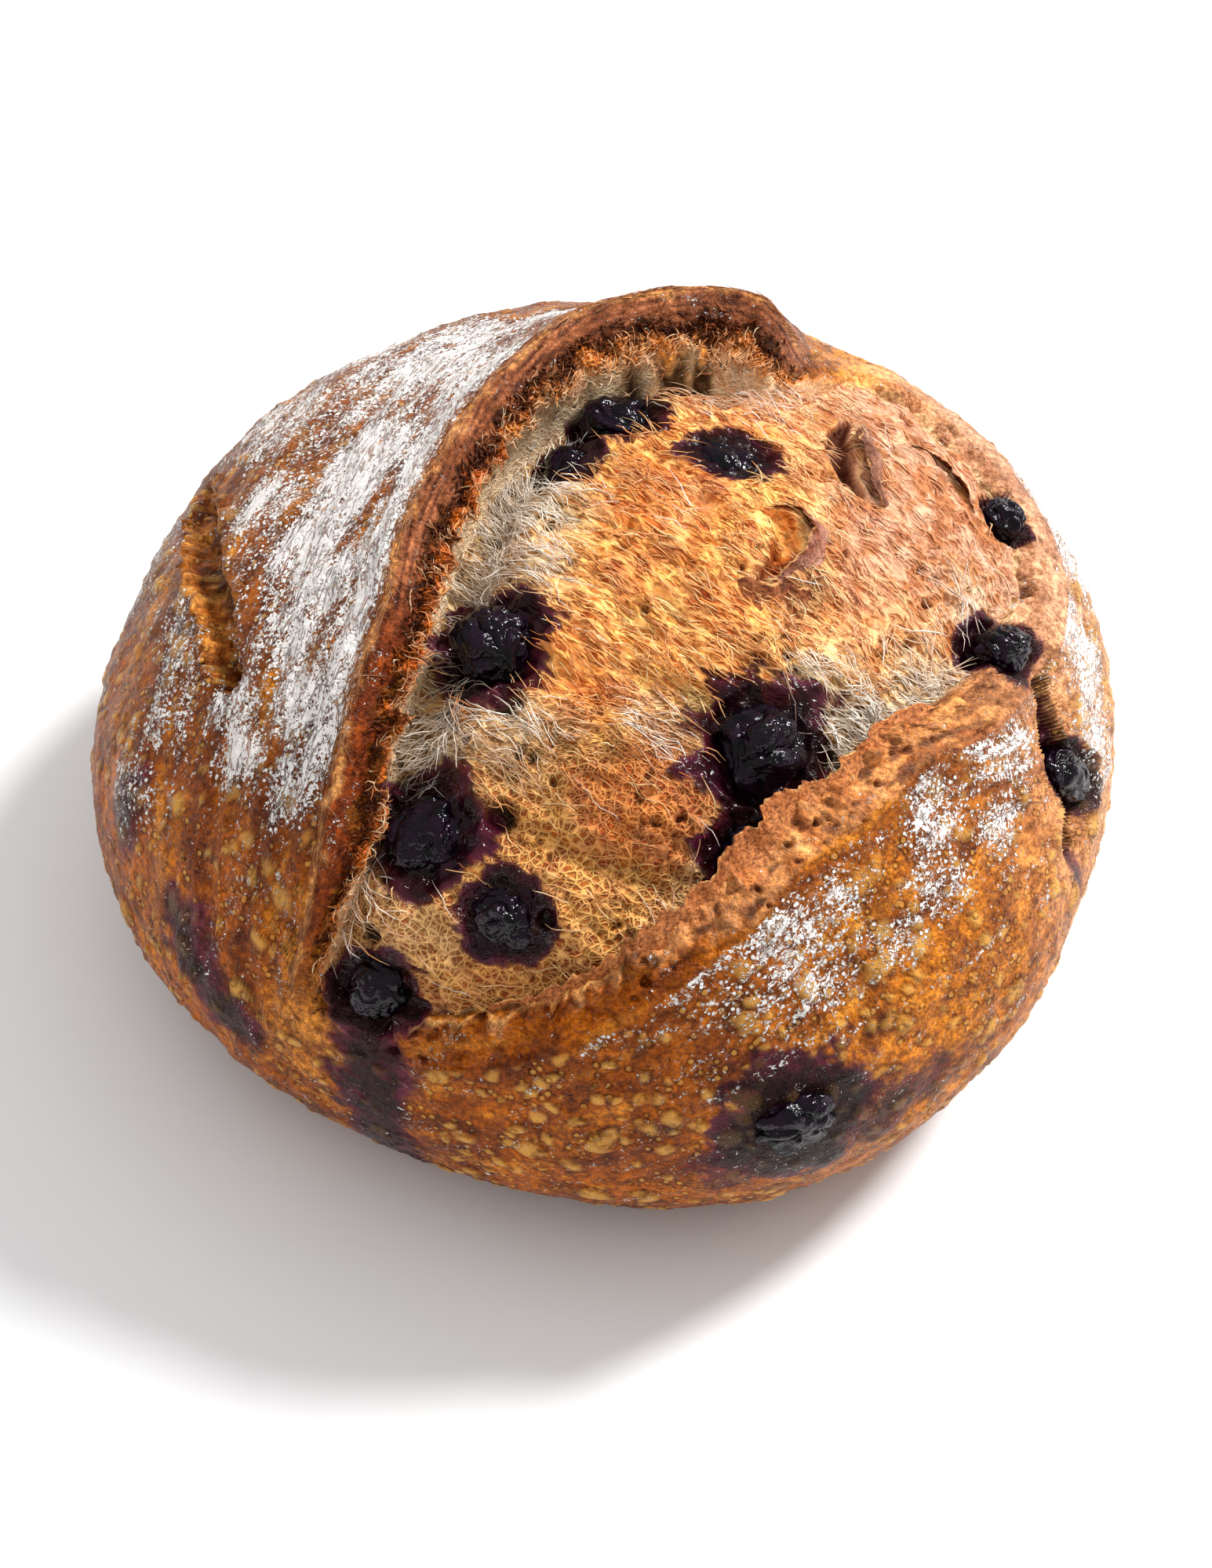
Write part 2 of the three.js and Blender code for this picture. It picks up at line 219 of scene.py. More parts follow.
def keyed(knots, turn):
    # smooth curve through (degrees, value) knots, closed round the circle
    degrees, values = np.array(knots, float).T
    degrees = np.concatenate([degrees[-2:] - 360, degrees, degrees[:2] + 360])
    values = np.concatenate([values[-2:], values, values[:2]])
    slopes = (values[2:] - values[:-2]) / (degrees[2:] - degrees[:-2])
    at = np.mod(turn, 360)
    low = np.searchsorted(degrees[2:-2], at, side="right") + 1
    span = degrees[low + 1] - degrees[low]
    t = (at - degrees[low]) / span
    slopeIn = slopes[low - 1] * span
    slopeOut = slopes[low] * span
    rise = values[low + 1] - values[low]
    return values[low] + t * (
        slopeIn + t * (3 * rise - 2 * slopeIn - slopeOut + t * (slopeIn + slopeOut - 2 * rise)))


def corners(bearing):
    # how far the ring reaches at a bearing, 1 on a circle
    return 1 + form["threeCorner"] * np.cos(3 * bearing) + form["fourCorner"] * np.sin(4 * bearing)


def bodyPoint(direction):
    x, y, z = direction[..., 0], direction[..., 1], direction[..., 2]
    out = np.maximum(np.hypot(x, y), 1e-9)
    fullness = np.where(z > 0, form["upperFullness"], form["lowerFullness"])
    widen = form["radius"] * corners(np.arctan2(y, x)) * out ** (fullness - 1)
    rise = np.where(z > 0, form["dome"] - form["widest"], -form["widest"] / form["baseFall"])
    return np.stack([widen * x, widen * y, np.maximum(0, form["widest"] + rise * z)], -1)


def bodyNormal(direction):
    guide = np.where(np.abs(direction[..., :1]) < 0.7, [1.0, 0, 0], [0, 1.0, 0])
    aside = unit(np.cross(direction, guide))
    ahead = np.cross(direction, aside)
    small = 1e-3
    first = bodyPoint(direction + small * aside) - bodyPoint(direction - small * aside)
    second = bodyPoint(direction + small * ahead) - bodyPoint(direction - small * ahead)
    return unit(np.cross(first, second))


def webDirection(turn, fall):
    t = np.radians(turn)
    x, y, z = np.sin(fall) * np.cos(t), np.sin(fall) * np.sin(t), np.cos(fall)
    c, s = math.cos(form["hubLean"]), math.sin(form["hubLean"])
    return np.stack([x, y * c - z * s, y * s + z * c], -1)


def lastFall(turn):
    side = math.sin(form["hubLean"]) * np.sin(np.radians(turn))
    lean = math.cos(form["hubLean"])
    return np.arctan2(side, lean) + np.arccos(form["baseFall"] / np.hypot(lean, side))


def spokeReaches(turn):
    # falls from the hub and reaches along the surface, down each turn's spoke
    falls = lastFall(turn)[:, None] * np.linspace(0, 1, webSteps + 1)
    points = bodyPoint(webDirection(turn[:, None], falls))
    lengths = np.linalg.norm(np.diff(points, axis=1), axis=-1)
    return falls, np.concatenate([np.zeros((len(turn), 1)), np.cumsum(lengths, 1)], 1)


def directionAt(turn, reach):
    # the web's direction for one row of reaches on each turn
    falls, reaches = spokeReaches(turn)
    rows = [np.interp(reach[i], reaches[i], falls[i]) for i in range(len(turn))]
    return webDirection(turn[:, None], np.array(rows))


tableReaches = spokeReaches(np.arange(0, 361.0))[1]


def webPlace(direction):
    # turn and reach of any direction on the web
    c, s = math.cos(form["hubLean"]), math.sin(form["hubLean"])
    x, y, z = direction[..., 0], direction[..., 1], direction[..., 2]
    y, z = y * c + z * s, z * c - y * s
    turn = np.mod(np.degrees(np.arctan2(y, x)), 360)
    column = np.arccos(np.clip(z, -1, 1)) / lastFall(turn) * webSteps
    row, column = np.clip(turn, 0, 359.999), np.clip(column, 0, webSteps - 0.001)
    i, j = row.astype(int), column.astype(int)
    u, v = row - i, column - j
    near = tableReaches[i, j] * (1 - v) + tableReaches[i, j + 1] * v
    far = tableReaches[i + 1, j] * (1 - v) + tableReaches[i + 1, j + 1] * v
    return turn, near * (1 - u) + far * u


def slantAt(turn):
    # how much shorter it is straight across the edge than along the spoke
    edge = keyed(scoreEdge, turn)
    slope = np.degrees(keyed(scoreEdge, turn + 1) - keyed(scoreEdge, turn - 1)) / 2
    return np.maximum(edge / np.hypot(edge, slope), 0.6)


tearing = {"angle": math.radians(-38), "length": 5, "width": 1.1, "height": 1.6}  # the dough's torn fibres


def combedPlace(base):
    # coordinates along and across the way the dough tore, in sizes of a fibre
    c, s = math.cos(tearing["angle"]), math.sin(tearing["angle"])
    along = base[..., 0] * c + base[..., 1] * s
    aside = -base[..., 0] * s + base[..., 1] * c
    up = base[..., 2]
    return np.stack([along / tearing["length"], aside / tearing["width"], up / tearing["height"]], -1)


def alongLine(points, line):
    # for each stretch of a line: distance from it, and what stands beside its corners at the nearest spot
    line = np.array(line, float)
    for start, end in zip(line[:-1], line[1:]):
        along = end[:3] - start[:3]
        share = np.clip(((points - start[:3]) @ along) / (along @ along), 0, 1)
        beside = start[3:] + (end[3:] - start[3:]) * share[..., None]
        yield np.linalg.norm(points - start[:3] - share[..., None] * along, axis=-1), beside


def distanceTo(points, line):
    nearest = np.full(points.shape[:-1], 1e9)
    for away, beside in alongLine(points, line):
        nearest = np.minimum(nearest, away)
    return nearest


def spread(points, line, ragged):
    # distance from a line in its own half widths, which stand beside its corners, with torn edges
    stray = ragged * tattered(points)
    nearest = np.full(points.shape[:-1], 1e9)
    for away, beside in alongLine(points, line):
        half = beside[..., 0]
        nearest = np.minimum(nearest, (away + stray * half / (half + 1.5)) / half)
    return nearest


def blobs(points, places):
    # how much of each soft round patch reaches a point: (place, radius, strength)
    total = np.zeros(points.shape[:-1])
    for place, radius, strength in places:
        away = np.linalg.norm(points - np.array(place, float), axis=-1) / radius
        total = np.maximum(total, strength * bell(away, 0, 1, 3))
    return total


def reliefAt(points):
    # the loaf's soft bumps and creases
    rise = 0.5 * noise(points, 14, 1)
    for place, radius, height in swellings:
        away = np.linalg.norm(points - np.array(place, float), axis=-1) / radius
        rise += height * bell(away, 0, 1)
    for line, width, depth in creases:
        rise -= depth * bell(distanceTo(points, line), 0, width / 2)
    return rise * step(4, 20, points[..., 2])


def seatOf(turn, reach, lift):
    # where a berry sits: axes aside, along the spoke and outward, and its middle
    turns = np.array([float(turn)])
    trio = directionAt(turns, np.array([[reach - 1, reach, reach + 1]]))[0]
    before, place, after = bodyPoint(trio)
    outward = bodyNormal(trio)[1]
    aside = np.cross(after - before, outward)
    aside /= np.linalg.norm(aside)
    along = np.cross(outward, aside)
    return np.array([aside, along, outward]), place + lift * outward


seats = {name: seatOf(berry["turn"], berry["reach"], berry["lift"]) for name, berry in berries.items()}


def roundBerry(base, name):
    # where points lie from a berry's middle, in mm on its axes and in half sizes across the surface
    axes, middle = seats[name]
    half = berries[name]["half"]
    local = (base - middle) @ axes.T
    return local, np.hypot(local[..., 0] / half[0], local[..., 1] / half[1])


def socketsAt(base):
    # the hollow round each berry and the low torn rim of that hollow
    rise = np.zeros(base.shape[:-1])
    ragged = 0.12 * noise(base, 3, 9)
    for name, berry in berries.items():
        local, flat = roundBerry(base, name)
        flat = flat + ragged + 5 * step(11, 16, np.abs(local[..., 2]))
        rise -= 0.7 * berry["socket"] * bell(flat, 0, 1.3, 4)
        rise += 0.3 * berry["socket"] * bell(flat, 1.4, 0.22)
    return rise


caves = [  # holes torn in the wall under the ear and in the crumb: place, radius, depth
    (bodyPoint(directionAt(np.array([turn]), np.array([[reach]])))[0, 0], radius, depth)
    for turn, reach, radius, depth in (
        (80, 72, 3.4, 4), (71, 70, 3.0, 4), (86, 68, 3.4, 4), (75, 73, 2.4, 3), (104, 53, 2.2, 3),
        (118, 38, 2.2, 3.5), (125, 31.5, 1.8, 3), (150, 28, 2.2, 3), (205, 20, 3.2, 3), (238, 34, 3.0, 3),
        (337, 44, 2.4, 3), (231, 66, 2.4, 3), (212, 44, 2.6, 3), (258, 48, 1.8, 2.4),
    )
]


def cavesAt(base):
    # how far into a hole a point lies, and how much lower it is
    share, drop = np.zeros(base.shape[:-1]), np.zeros(base.shape[:-1])
    stray = 0.5 * tattered(base)
    for place, radius, depth in caves:
        inside = step(1.15, 0.55, (np.linalg.norm(base - place, axis=-1) + stray) / radius)
        share, drop = np.maximum(share, inside), np.maximum(drop, depth * inside)
    return share, drop


def tattered(base):
    # mm by which a torn edge strays
    return 1.5 * noise(base, 9, 42) + 1.0 * noise(base, 3.5, 39) + 0.5 * noise(base, 1.6, 40)


def linear(red, green, blue):
    # screen colour 0 to 255 as the linear colour a shader takes
    c = np.array([red, green, blue]) / 255
    return np.where(c <= 0.04045, c / 12.92, ((c + 0.055) / 1.055) ** 2.4)


def insideBox(points):
    # the dressed loaf stays within the box of the solids
    low, high = np.array(cadBox[0]) * metre, np.array(cadBox[1]) * metre
    return np.clip(points, low - form["centring"], high - form["centring"])


def gridFaces(index, turned=False):
    # two triangles for each cell of a grid of point numbers
    a, b, c, d = index[:-1, :-1], index[1:, :-1], index[1:, 1:], index[:-1, 1:]
    trios = ((a, d, c), (a, c, b)) if turned else ((a, b, c), (a, c, d))
    return [np.stack(trio, -1).reshape(-1, 3) for trio in trios]


def gridRim(index):
    # point numbers once round the grid's edge
    return np.concatenate([index[:-1, 0], index[-1, :-1], index[:0:-1, -1], index[0, :0:-1]])


def withExtra(fields, count, extra):
    # fields as one row a point, with zeros for the extra points that close a body
    rows = {}
    for key, values in fields.items():
        values = values.reshape(count, -1)
        values = np.concatenate([values, np.zeros((extra, values.shape[1]))])
        rows[key] = values[:, 0] if values.shape[1] == 1 else values
    return rows


fieldKinds = {1: ("FLOAT", "value"), 3: ("FLOAT_VECTOR", "vector"), 4: ("FLOAT_COLOR", "color")}


def makePiece(name, points, faces, material, fields):
    mesh = bpy.data.meshes.new(name)
    points = points + form["centring"]
    mesh.vertices.add(len(points))
    mesh.vertices.foreach_set("co", (points * millimetre).astype(np.float32).ravel())
    mesh.loops.add(faces.size)
    mesh.loops.foreach_set("vertex_index", faces.astype(np.int32).ravel())
    mesh.polygons.add(len(faces))
    mesh.polygons.foreach_set("loop_start", np.arange(0, faces.size, 3, dtype=np.int32))
    mesh.polygons.foreach_set("use_smooth", np.ones(len(faces), bool))
    mesh.update(calc_edges=True)
    for label, values in fields.items():
        values = np.asarray(values, np.float32)
        kind, key = fieldKinds[1 if values.ndim == 1 else values.shape[1]]
        mesh.attributes.new(label, kind, "POINT").data.foreach_set(key, values.ravel())
    mesh.materials.append(material)
    print("made", name, len(faces), "triangles")
    return placed(name, mesh)


def placed(name, data):
    # a new object in the scene
    piece = bpy.data.objects.new(name, data)
    bpy.context.scene.collection.objects.link(piece)
    return piece


# helpers for node trees: an input is a number, a colour or another node's socket
def addNode(tree, kind, inputs=None, **settings):
    node = tree.nodes.new(kind)
    for key, value in settings.items():
        setattr(node, key, value)
    for key, value in (inputs or {}).items():
        socket = node.inputs[key]
        if isinstance(value, bpy.types.NodeSocket):
            tree.links.new(value, socket)
        else:
            socket.default_value = value
    return node


def newFinish(name):
    material = bpy.data.materials.new(name)
    material.use_nodes = True
    tree = material.node_tree
    tree.nodes.clear()
    return material, tree


def field(tree, name, output="Fac"):
    return addNode(tree, "ShaderNodeAttribute", attribute_name=name).outputs[output]


def place(tree):
    return addNode(tree, "ShaderNodeTexCoord").outputs["Object"]


def stretched(tree, vector, scale):
    return addNode(tree, "ShaderNodeMapping", {"Vector": vector, "Scale": scale}).outputs["Vector"]


def grain(tree, vector, size, detail=3, rough=0.55, twist=0):
    # noise with features of that size in mm on object coordinates
    inputs = {
        "Vector": vector, "Scale": metre / size, "Detail": detail, "Roughness": rough, "Distortion": twist,
    }
    return addNode(tree, "ShaderNodeTexNoise", inputs).outputs["Fac"]


def spots(tree, vector, size, feature="F1"):
    inputs = {"Vector": vector, "Scale": metre / size}
    return addNode(tree, "ShaderNodeTexVoronoi", inputs, feature=feature).outputs["Distance"]


def calc(tree, operation, a, b=0.0, clamp=False):
    return addNode(tree, "ShaderNodeMath", {0: a, 1: b}, operation=operation, use_clamp=clamp).outputs[0]


def plus(tree, a, b):
    return calc(tree, "ADD", a, b)


def minus(tree, a, b, clamp=False):
    return calc(tree, "SUBTRACT", a, b, clamp)


def times(tree, a, b):
    return calc(tree, "MULTIPLY", a, b)


def most(tree, a, b, clamp=False):
    return calc(tree, "MAXIMUM", a, b, clamp)


def ease(tree, value, low, high, out=(0, 1)):
    inputs = {"Value": value, "From Min": low, "From Max": high, "To Min": out[0], "To Max": out[1]}
    return addNode(tree, "ShaderNodeMapRange", inputs, interpolation_type="SMOOTHSTEP").outputs["Result"]


def blendColour(tree, share, a, b, mode="MIX"):
    a = a if isinstance(a, bpy.types.NodeSocket) else (*a, 1)
    b = b if isinstance(b, bpy.types.NodeSocket) else (*b, 1)
    node = addNode(tree, "ShaderNodeMix", {0: share, 6: a, 7: b}, data_type="RGBA", blend_type=mode)
    return node.outputs[2]


def scaled(tree, vector, amount):
    # a colour or a vector times a number
    return addNode(tree, "ShaderNodeVectorMath", {0: vector, "Scale": amount}, operation="SCALE").outputs[0]


def tinted(tree, colour, share, dark, light):
    # colour times a tint that runs from the dark one to the light one
    return blendColour(tree, 1, colour, blendColour(tree, share, dark, light), "MULTIPLY")


def bumped(tree, height, distance):
    inputs = {"Height": height, "Distance": distance * millimetre, "Strength": 1}
    return addNode(tree, "ShaderNodeBump", inputs).outputs["Normal"]


def surface(tree, colour, roughness, normal, **constants):
    shader = addNode(tree, "ShaderNodeBsdfPrincipled", {"Base Color": colour, "Roughness": roughness})
    if normal:
        tree.links.new(normal, shader.inputs["Normal"])
    for key, value in constants.items():
        shader.inputs[key.replace("_", " ")].default_value = value
    output = addNode(tree, "ShaderNodeOutputMaterial")
    tree.links.new(shader.outputs[0], output.inputs[0])


palette = {
    # the crust, from pale to burnt
    # litBlush: the crust's pale pink on the right, partly painted light from that side
    "litBlush": linear(236, 176, 142),
    "honey": linear(222, 152, 58),
    "ochre": linear(206, 130, 40),
    "amber": linear(166, 88, 4),
    "umber": linear(144, 79, 17),
    "chestnut": linear(104, 42, 12),
    # charAndShade: burnt dough, and painted shade in the ear's crease and under the lip's edge
    "charAndShade": linear(44, 12, 6),
    "blister": linear(240, 180, 86),
    "flour": linear(255, 250, 246),
    # the ear's band at its upper and its lower end, its ridge, and the wall from the crease down
    "maroon": linear(78, 32, 26),
    "rust": linear(92, 34, 10),
    "clay": linear(190, 122, 92),
    "russet": linear(160, 74, 20),
    "ridge": linear(214, 160, 112),
    "wallTop": linear(226, 112, 24),
    "wallMiddle": linear(255, 168, 74),
    "wallFoot": linear(255, 228, 192),
    "wallBack": linear(232, 160, 84),
    # wallDipShade: painted shade in the dips between the wall's lumps
    "wallDipShade": linear(180, 112, 56),
    "belowWall": linear(236, 220, 200),
    # cavityShade: painted shade inside the wall's torn bubbles
    "cavityShade": linear(84, 44, 22),
    # caveShade: painted shade inside the holes torn in the wall and the crumb
    "caveShade": linear(44, 20, 10),
    "thread": linear(255, 236, 200),
    # the lip
    "lipDark": linear(196, 122, 72),
    "lipPale": linear(226, 160, 108),
    "lipEdge": linear(238, 184, 116),
    # lipPoreShade: painted shade in the lip's pores and grooves
    "lipPoreShade": linear(104, 50, 24),
    # the crumb
    "straw": linear(255, 222, 146),
    "golden": linear(255, 180, 88),
    "orange": linear(240, 138, 50),
    "toast": linear(200, 100, 34),
    # litRose: pinkish dough on the right, partly painted light from that side
    "litRose": linear(216, 166, 150),
    "cream": linear(242, 230, 214),
    "lace": linear(194, 118, 26),
    "lobe": linear(194, 98, 22),
    "rentRim": linear(246, 204, 150),
    "brownSkin": linear(150, 80, 48),
    "creviceShade": linear(110, 80, 62),
    # paleGapShade: painted shade in the gaps of the pale crumb
    "paleGapShade": linear(128, 98, 76),
    # hollowShadeGolden and hollowShadePale: painted shade inside torn-open bubbles in golden and in pale
    # crumb
    "hollowShadeGolden": linear(110, 62, 30),
    "hollowShadePale": linear(60, 44, 36),
    # crumbCaveShade: painted shade inside the holes in the crumb
    "crumbCaveShade": linear(34, 20, 16),
    # torn skin
    "skinEdge": linear(236, 180, 116),
    # skinUnderShade: the underside of torn skin, painted dark as the shade under it
    "skinUnderShade": linear(110, 56, 26),
    # juice and berries
    "plum": linear(80, 17, 60),
    "ink": linear(12, 3, 12),
    "berryBlack": linear(1, 1, 2),
    "berryPurple": linear(26, 6, 27),
    "berryFold": linear(36, 30, 46),
}


print("finishes")


threadBend = {"perMetre": 260.0, "by": 0.0011}


def threads(tree, spot, along, size):
    # a web of torn threads, bent and stretched
    inputs = {"Vector": spot, "Scale": threadBend["perMetre"], "Detail": 2.0}
    bend = addNode(tree, "ShaderNodeTexNoise", inputs).outputs["Color"]
    bend = scaled(tree, bend, threadBend["by"])
    bent = addNode(tree, "ShaderNodeVectorMath", {0: along, 1: bend}, operation="ADD").outputs[0]
    wide = spots(tree, bent, size, "DISTANCE_TO_EDGE")
    narrow = spots(tree, stretched(tree, bent, (0.6, 1, 1)), size / 2, "DISTANCE_TO_EDGE")
    return most(tree, ease(tree, wide, 0.22, 0.02), ease(tree, narrow, 0.2, 0.02, (0, 0.7)))


crustLook = {  # sizes in mm
    "mottle": 2.2,
    "fine": 0.9,
    "patches": 9,
    "blisters": 2.3,
    "blisterPatches": 7,
    "pores": 1.3,
    "threads": 1.1,
    "streaks": 3.6,
    "lumps": 1.1,
    "dust": 0.55,
    "cracks": 2.4,
    "flourGrains": 900.0,  # to the metre
    "flourCover": 0.94,
    "bump": 0.5,
    "sheen": 0.2,
    "sheenTint": (1, 0.82, 0.6, 1),
}


def crustFinish():
    material, tree = newFinish("baked crust")
    look = crustLook
    spot = place(tree)
    along = field(tree, "grain", "Vector")
    tone = field(tree, "tone", "Color")
    labels = ("flour", "wet", "blister", "rim", "skin", "torn")
    flour, wet, blister, rim, skin, torn = (field(tree, label) for label in labels)
    mottle = grain(tree, spot, look["mottle"], 5, 0.7)
    fine = grain(tree, spot, look["fine"], 3, 0.7)
    patches = grain(tree, spot, look["patches"], 3, 0.6)
    colour = tone
    for level, low, high, dark, light in (
        (mottle, 0.34, 0.62, (0.52, 0.4, 0.26), (1.35, 1.3, 1.12)),
        (fine, 0.36, 0.62, (0.68, 0.6, 0.5), (1.25, 1.25, 1.15)),
        (patches, 0.34, 0.66, (0.62, 0.5, 0.38), (1.25, 1.24, 1.1)),
    ):
        colour = tinted(tree, colour, ease(tree, level, low, high), dark, light)
    # small pale blisters with dark rims, and pores darkened as painted shade
    small = spots(tree, spot, look["blisters"])
    picked = times(tree, ease(tree, grain(tree, spot, look["blisterPatches"], 1), 0.42, 0.55), skin)
    bead = times(tree, ease(tree, small, 0.3, 0.18), picked)
    foot = times(tree, ease(tree, small, 0.46, 0.36), ease(tree, small, 0.24, 0.34))
    ring = times(tree, foot, picked)
    pale = most(tree, times(tree, bead, 0.5), times(tree, blister, 0.75))
    colour = blendColour(tree, pale, colour, palette["blister"])
    dark = most(tree, times(tree, ring, 0.5), rim, True)
    colour = tinted(tree, colour, dark, (1, 1, 1), (0.5, 0.4, 0.34))
    # pores darkened towards their middles: painted shade
    colour = scaled(tree, colour, ease(tree, spots(tree, spot, look["pores"]), 0.05, 0.22, (0.5, 1)))
    # torn dough in the ear's wall and the lip: pale threads over gaps darkened as painted shade
    colour = blendColour(tree, times(tree, torn, 0.8), colour, tone)
    web = threads(tree, spot, stretched(tree, along, (0.6, 0.3, 1)), look["threads"])
    thread = times(tree, web, torn)
    gap = minus(tree, torn, thread, True)
    # gaps between the raised threads darkened: painted shade
    colour = tinted(tree, colour, gap, (1, 1, 1), (0.8, 0.6, 0.42))
    colour = blendColour(tree, times(tree, thread, 0.35), colour, palette["thread"])
    # flour: caked where the field is high, dusted where it is low, crackled as the crust grew
    stretch = stretched(tree, along, (0.4, 1, 1))
    streak = grain(tree, stretch, look["streaks"], 4, 0.62)
    lump = grain(tree, spot, look["lumps"], 3, 0.65, 1.2)
    dust = grain(tree, spot, look["dust"], 2, 0.7)
    amount = flour
    for level, strength in ((streak, 1.5), (lump, 2.2), (dust, 1.3)):
        amount = plus(tree, amount, times(tree, minus(tree, level, 0.5), strength))
    cover = ease(tree, amount, 0.44, 0.6)
    vein = calc(tree, "ABSOLUTE", minus(tree, grain(tree, stretch, look["cracks"], 3, 0.6, 0.8), 0.5))
    cover = times(tree, cover, ease(tree, vein, 0.0, 0.035, (0.2, 1)))
    # single grains of flour, picked by the colour of their cell
    chance = addNode(tree, "ShaderNodeTexVoronoi", {"Vector": spot, "Scale": look["flourGrains"]})
    pick = addNode(tree, "ShaderNodeSeparateXYZ", {0: chance.outputs["Color"]}).outputs[0]
    grains = times(tree, ease(tree, chance.outputs["Distance"], 0.42, 0.3), ease(tree, pick, 0.66, 0.7))
    grains = times(tree, grains, ease(tree, plus(tree, flour, streak), 0.62, 0.8))
    cover = most(tree, cover, grains)
    colour = blendColour(tree, times(tree, cover, look["flourCover"]), colour, palette["flour"])
    roughness = ease(tree, plus(tree, cover, mottle), 0.3, 1.4, (0.32, 0.95))
    roughness = minus(tree, roughness, times(tree, wet, 0.3), True)
    height = plus(tree, times(tree, cover, 1.1), times(tree, dust, 0.5))
    height = plus(tree, height, times(tree, fine, 1.2))
    height = plus(tree, height, times(tree, minus(tree, bead, ring), 0.5))
    height = plus(tree, height, thread)
    surface(tree, colour, roughness, bumped(tree, height, look["bump"]),
            Specular_IOR_Level=look["sheen"], Specular_Tint=look["sheenTint"])
    return material


crumbLook = {  # sizes in mm
    "threads": 1.7,
    "clouds": 6,
    "grit": 0.9,
    "bump": 0.7,
    "dryRoughness": 0.75,
    "wetRoughness": 0.16,
}


def crumbFinish():
    # dough torn into a web of strands: raised threads lightened as painted light, the hollows between them
    # darkened as painted shade
    material, tree = newFinish("torn crumb")
    look = crumbLook
    spot = place(tree)
    wet, stain, smooth = (field(tree, label) for label in ("wet", "stain", "smooth"))
    thread = threads(tree, spot, field(tree, "grain", "Vector"), look["threads"])
    cloud = ease(tree, grain(tree, spot, look["clouds"], 5, 0.7), 0.42, 0.58)
    colour = tinted(tree, field(tree, "tone", "Color"), cloud, (0.72, 0.46, 0.24), (1.16, 1.2, 1.15))
    # darker between the raised threads as painted shade, and over juice stains and openings
    darker = times(tree, minus(tree, 1, thread), minus(tree, 1, wet, True))
    darker = most(tree, darker, times(tree, stain, 0.6))
    level = times(tree, minus(tree, 0.45, darker), times(tree, smooth, 0.6))  # less contrast on smooth dough
    darker = plus(tree, darker, level)
    # threads brightened as painted light, gaps darkened as painted shade
    colour = tinted(tree, colour, darker, (1.4, 1.34, 1.2), (0.66, 0.4, 0.2))
    # pale straw on the raised threads: painted highlight
    paler = times(tree, times(tree, thread, 0.38), minus(tree, 1, stain, True))
    paler = times(tree, paler, minus(tree, 1, times(tree, smooth, 0.8)))
    colour = blendColour(tree, paler, colour, palette["straw"])
    roughness = ease(tree, wet, 0.3, 0.8, (look["dryRoughness"], look["wetRoughness"]))
    height = plus(tree, thread, times(tree, grain(tree, spot, look["grit"], 3, 0.6), 0.5))
    height = times(tree, height, ease(tree, wet, 0.3, 0.9, (1, 0.15)))
    surface(tree, colour, roughness, bumped(tree, height, look["bump"]), Specular_IOR_Level=0.3)
    return material


skinLook = {"wrinkles": 0.9, "pits": 1.5, "bump": 0.5, "roughness": 0.55}


def skinFinish():
    # thin torn skin: browned, finely wrinkled, darkened in its pits as painted shade
    material, tree = newFinish("torn skin")
    spot = place(tree)
    fine = grain(tree, spot, skinLook["wrinkles"], 4, 0.65, 0.6)
    tone = field(tree, "tone", "Color")
    colour = tinted(tree, tone, ease(tree, fine, 0.36, 0.62), (0.5, 0.38, 0.28), (1.3, 1.25, 1.15))
    pits = ease(tree, spots(tree, spot, skinLook["pits"]), 0.1, 0.3, (0.45, 1))
    normal = bumped(tree, times(tree, fine, pits), skinLook["bump"])
    # the colour darkened in the pits: painted shade
    surface(tree, scaled(tree, colour, pits), skinLook["roughness"], normal, Specular_IOR_Level=0.2)
    return material


def strandFinish(name, light, share, brown, browned):
    # torn strands take the tone of the dough that they grow from, some paler and some browned
    material, tree = newFinish(name)
    paler = ease(tree, field(tree, "shade"), 0.1, 0.9, (share * 0.15, share))
    colour = blendColour(tree, paler, field(tree, "tone", "Color"), light)
    cloud = ease(tree, grain(tree, place(tree), 5, 4, 0.7), 0.62, 0.4, (0, browned))
    surface(tree, blendColour(tree, cloud, colour, brown), 0.5, None, Specular_IOR_Level=0.15)
    return material


berrySkin = {"clouds": 3, "gloss": 3.5, "roughness": (0.04, 0.2), "wrinkles": 2.2, "bump": 0.9}


def berryFinish():
    material, tree = newFinish("berry skin")
    look = berrySkin
    spot = place(tree)
    cloud = ease(tree, grain(tree, spot, look["clouds"], 4, 0.6), 0.35, 0.7)
    colour = blendColour(tree, cloud, palette["berryBlack"], palette["berryPurple"])
    colour = blendColour(tree, times(tree, field(tree, "fold"), 0.12), colour, palette["berryFold"])
    roughness = ease(tree, grain(tree, spot, look["gloss"], 3, 0.6), 0.4, 0.62, look["roughness"])
    normal = bumped(tree, grain(tree, spot, look["wrinkles"], 3, 0.5), look["bump"])
    surface(tree, colour, roughness, normal, Specular_IOR_Level=0.3)
    return material


finishes = {  # strands: the lighter colour and its share, then the browned one and its share
    "crust": crustFinish(),
    "crumb": crumbFinish(),
    "berry": berryFinish(),
    "skin": skinFinish(),
    "pale": strandFinish("pale strands", linear(255, 249, 236), 0.95, linear(214, 172, 120), 0.2),
    "golden": strandFinish("golden strands", linear(255, 235, 180), 0.8, linear(214, 116, 30), 0.6),
    "fringe": strandFinish("ear fringe", linear(255, 230, 186), 0.75, linear(190, 100, 34), 0.6),
    "spikes": strandFinish("ear spikes", linear(176, 88, 26), 0.5, linear(56, 20, 8), 0.9),
    "ridge": strandFinish("ear strands", linear(206, 156, 116), 0.7, linear(120, 62, 40), 0.7),
}


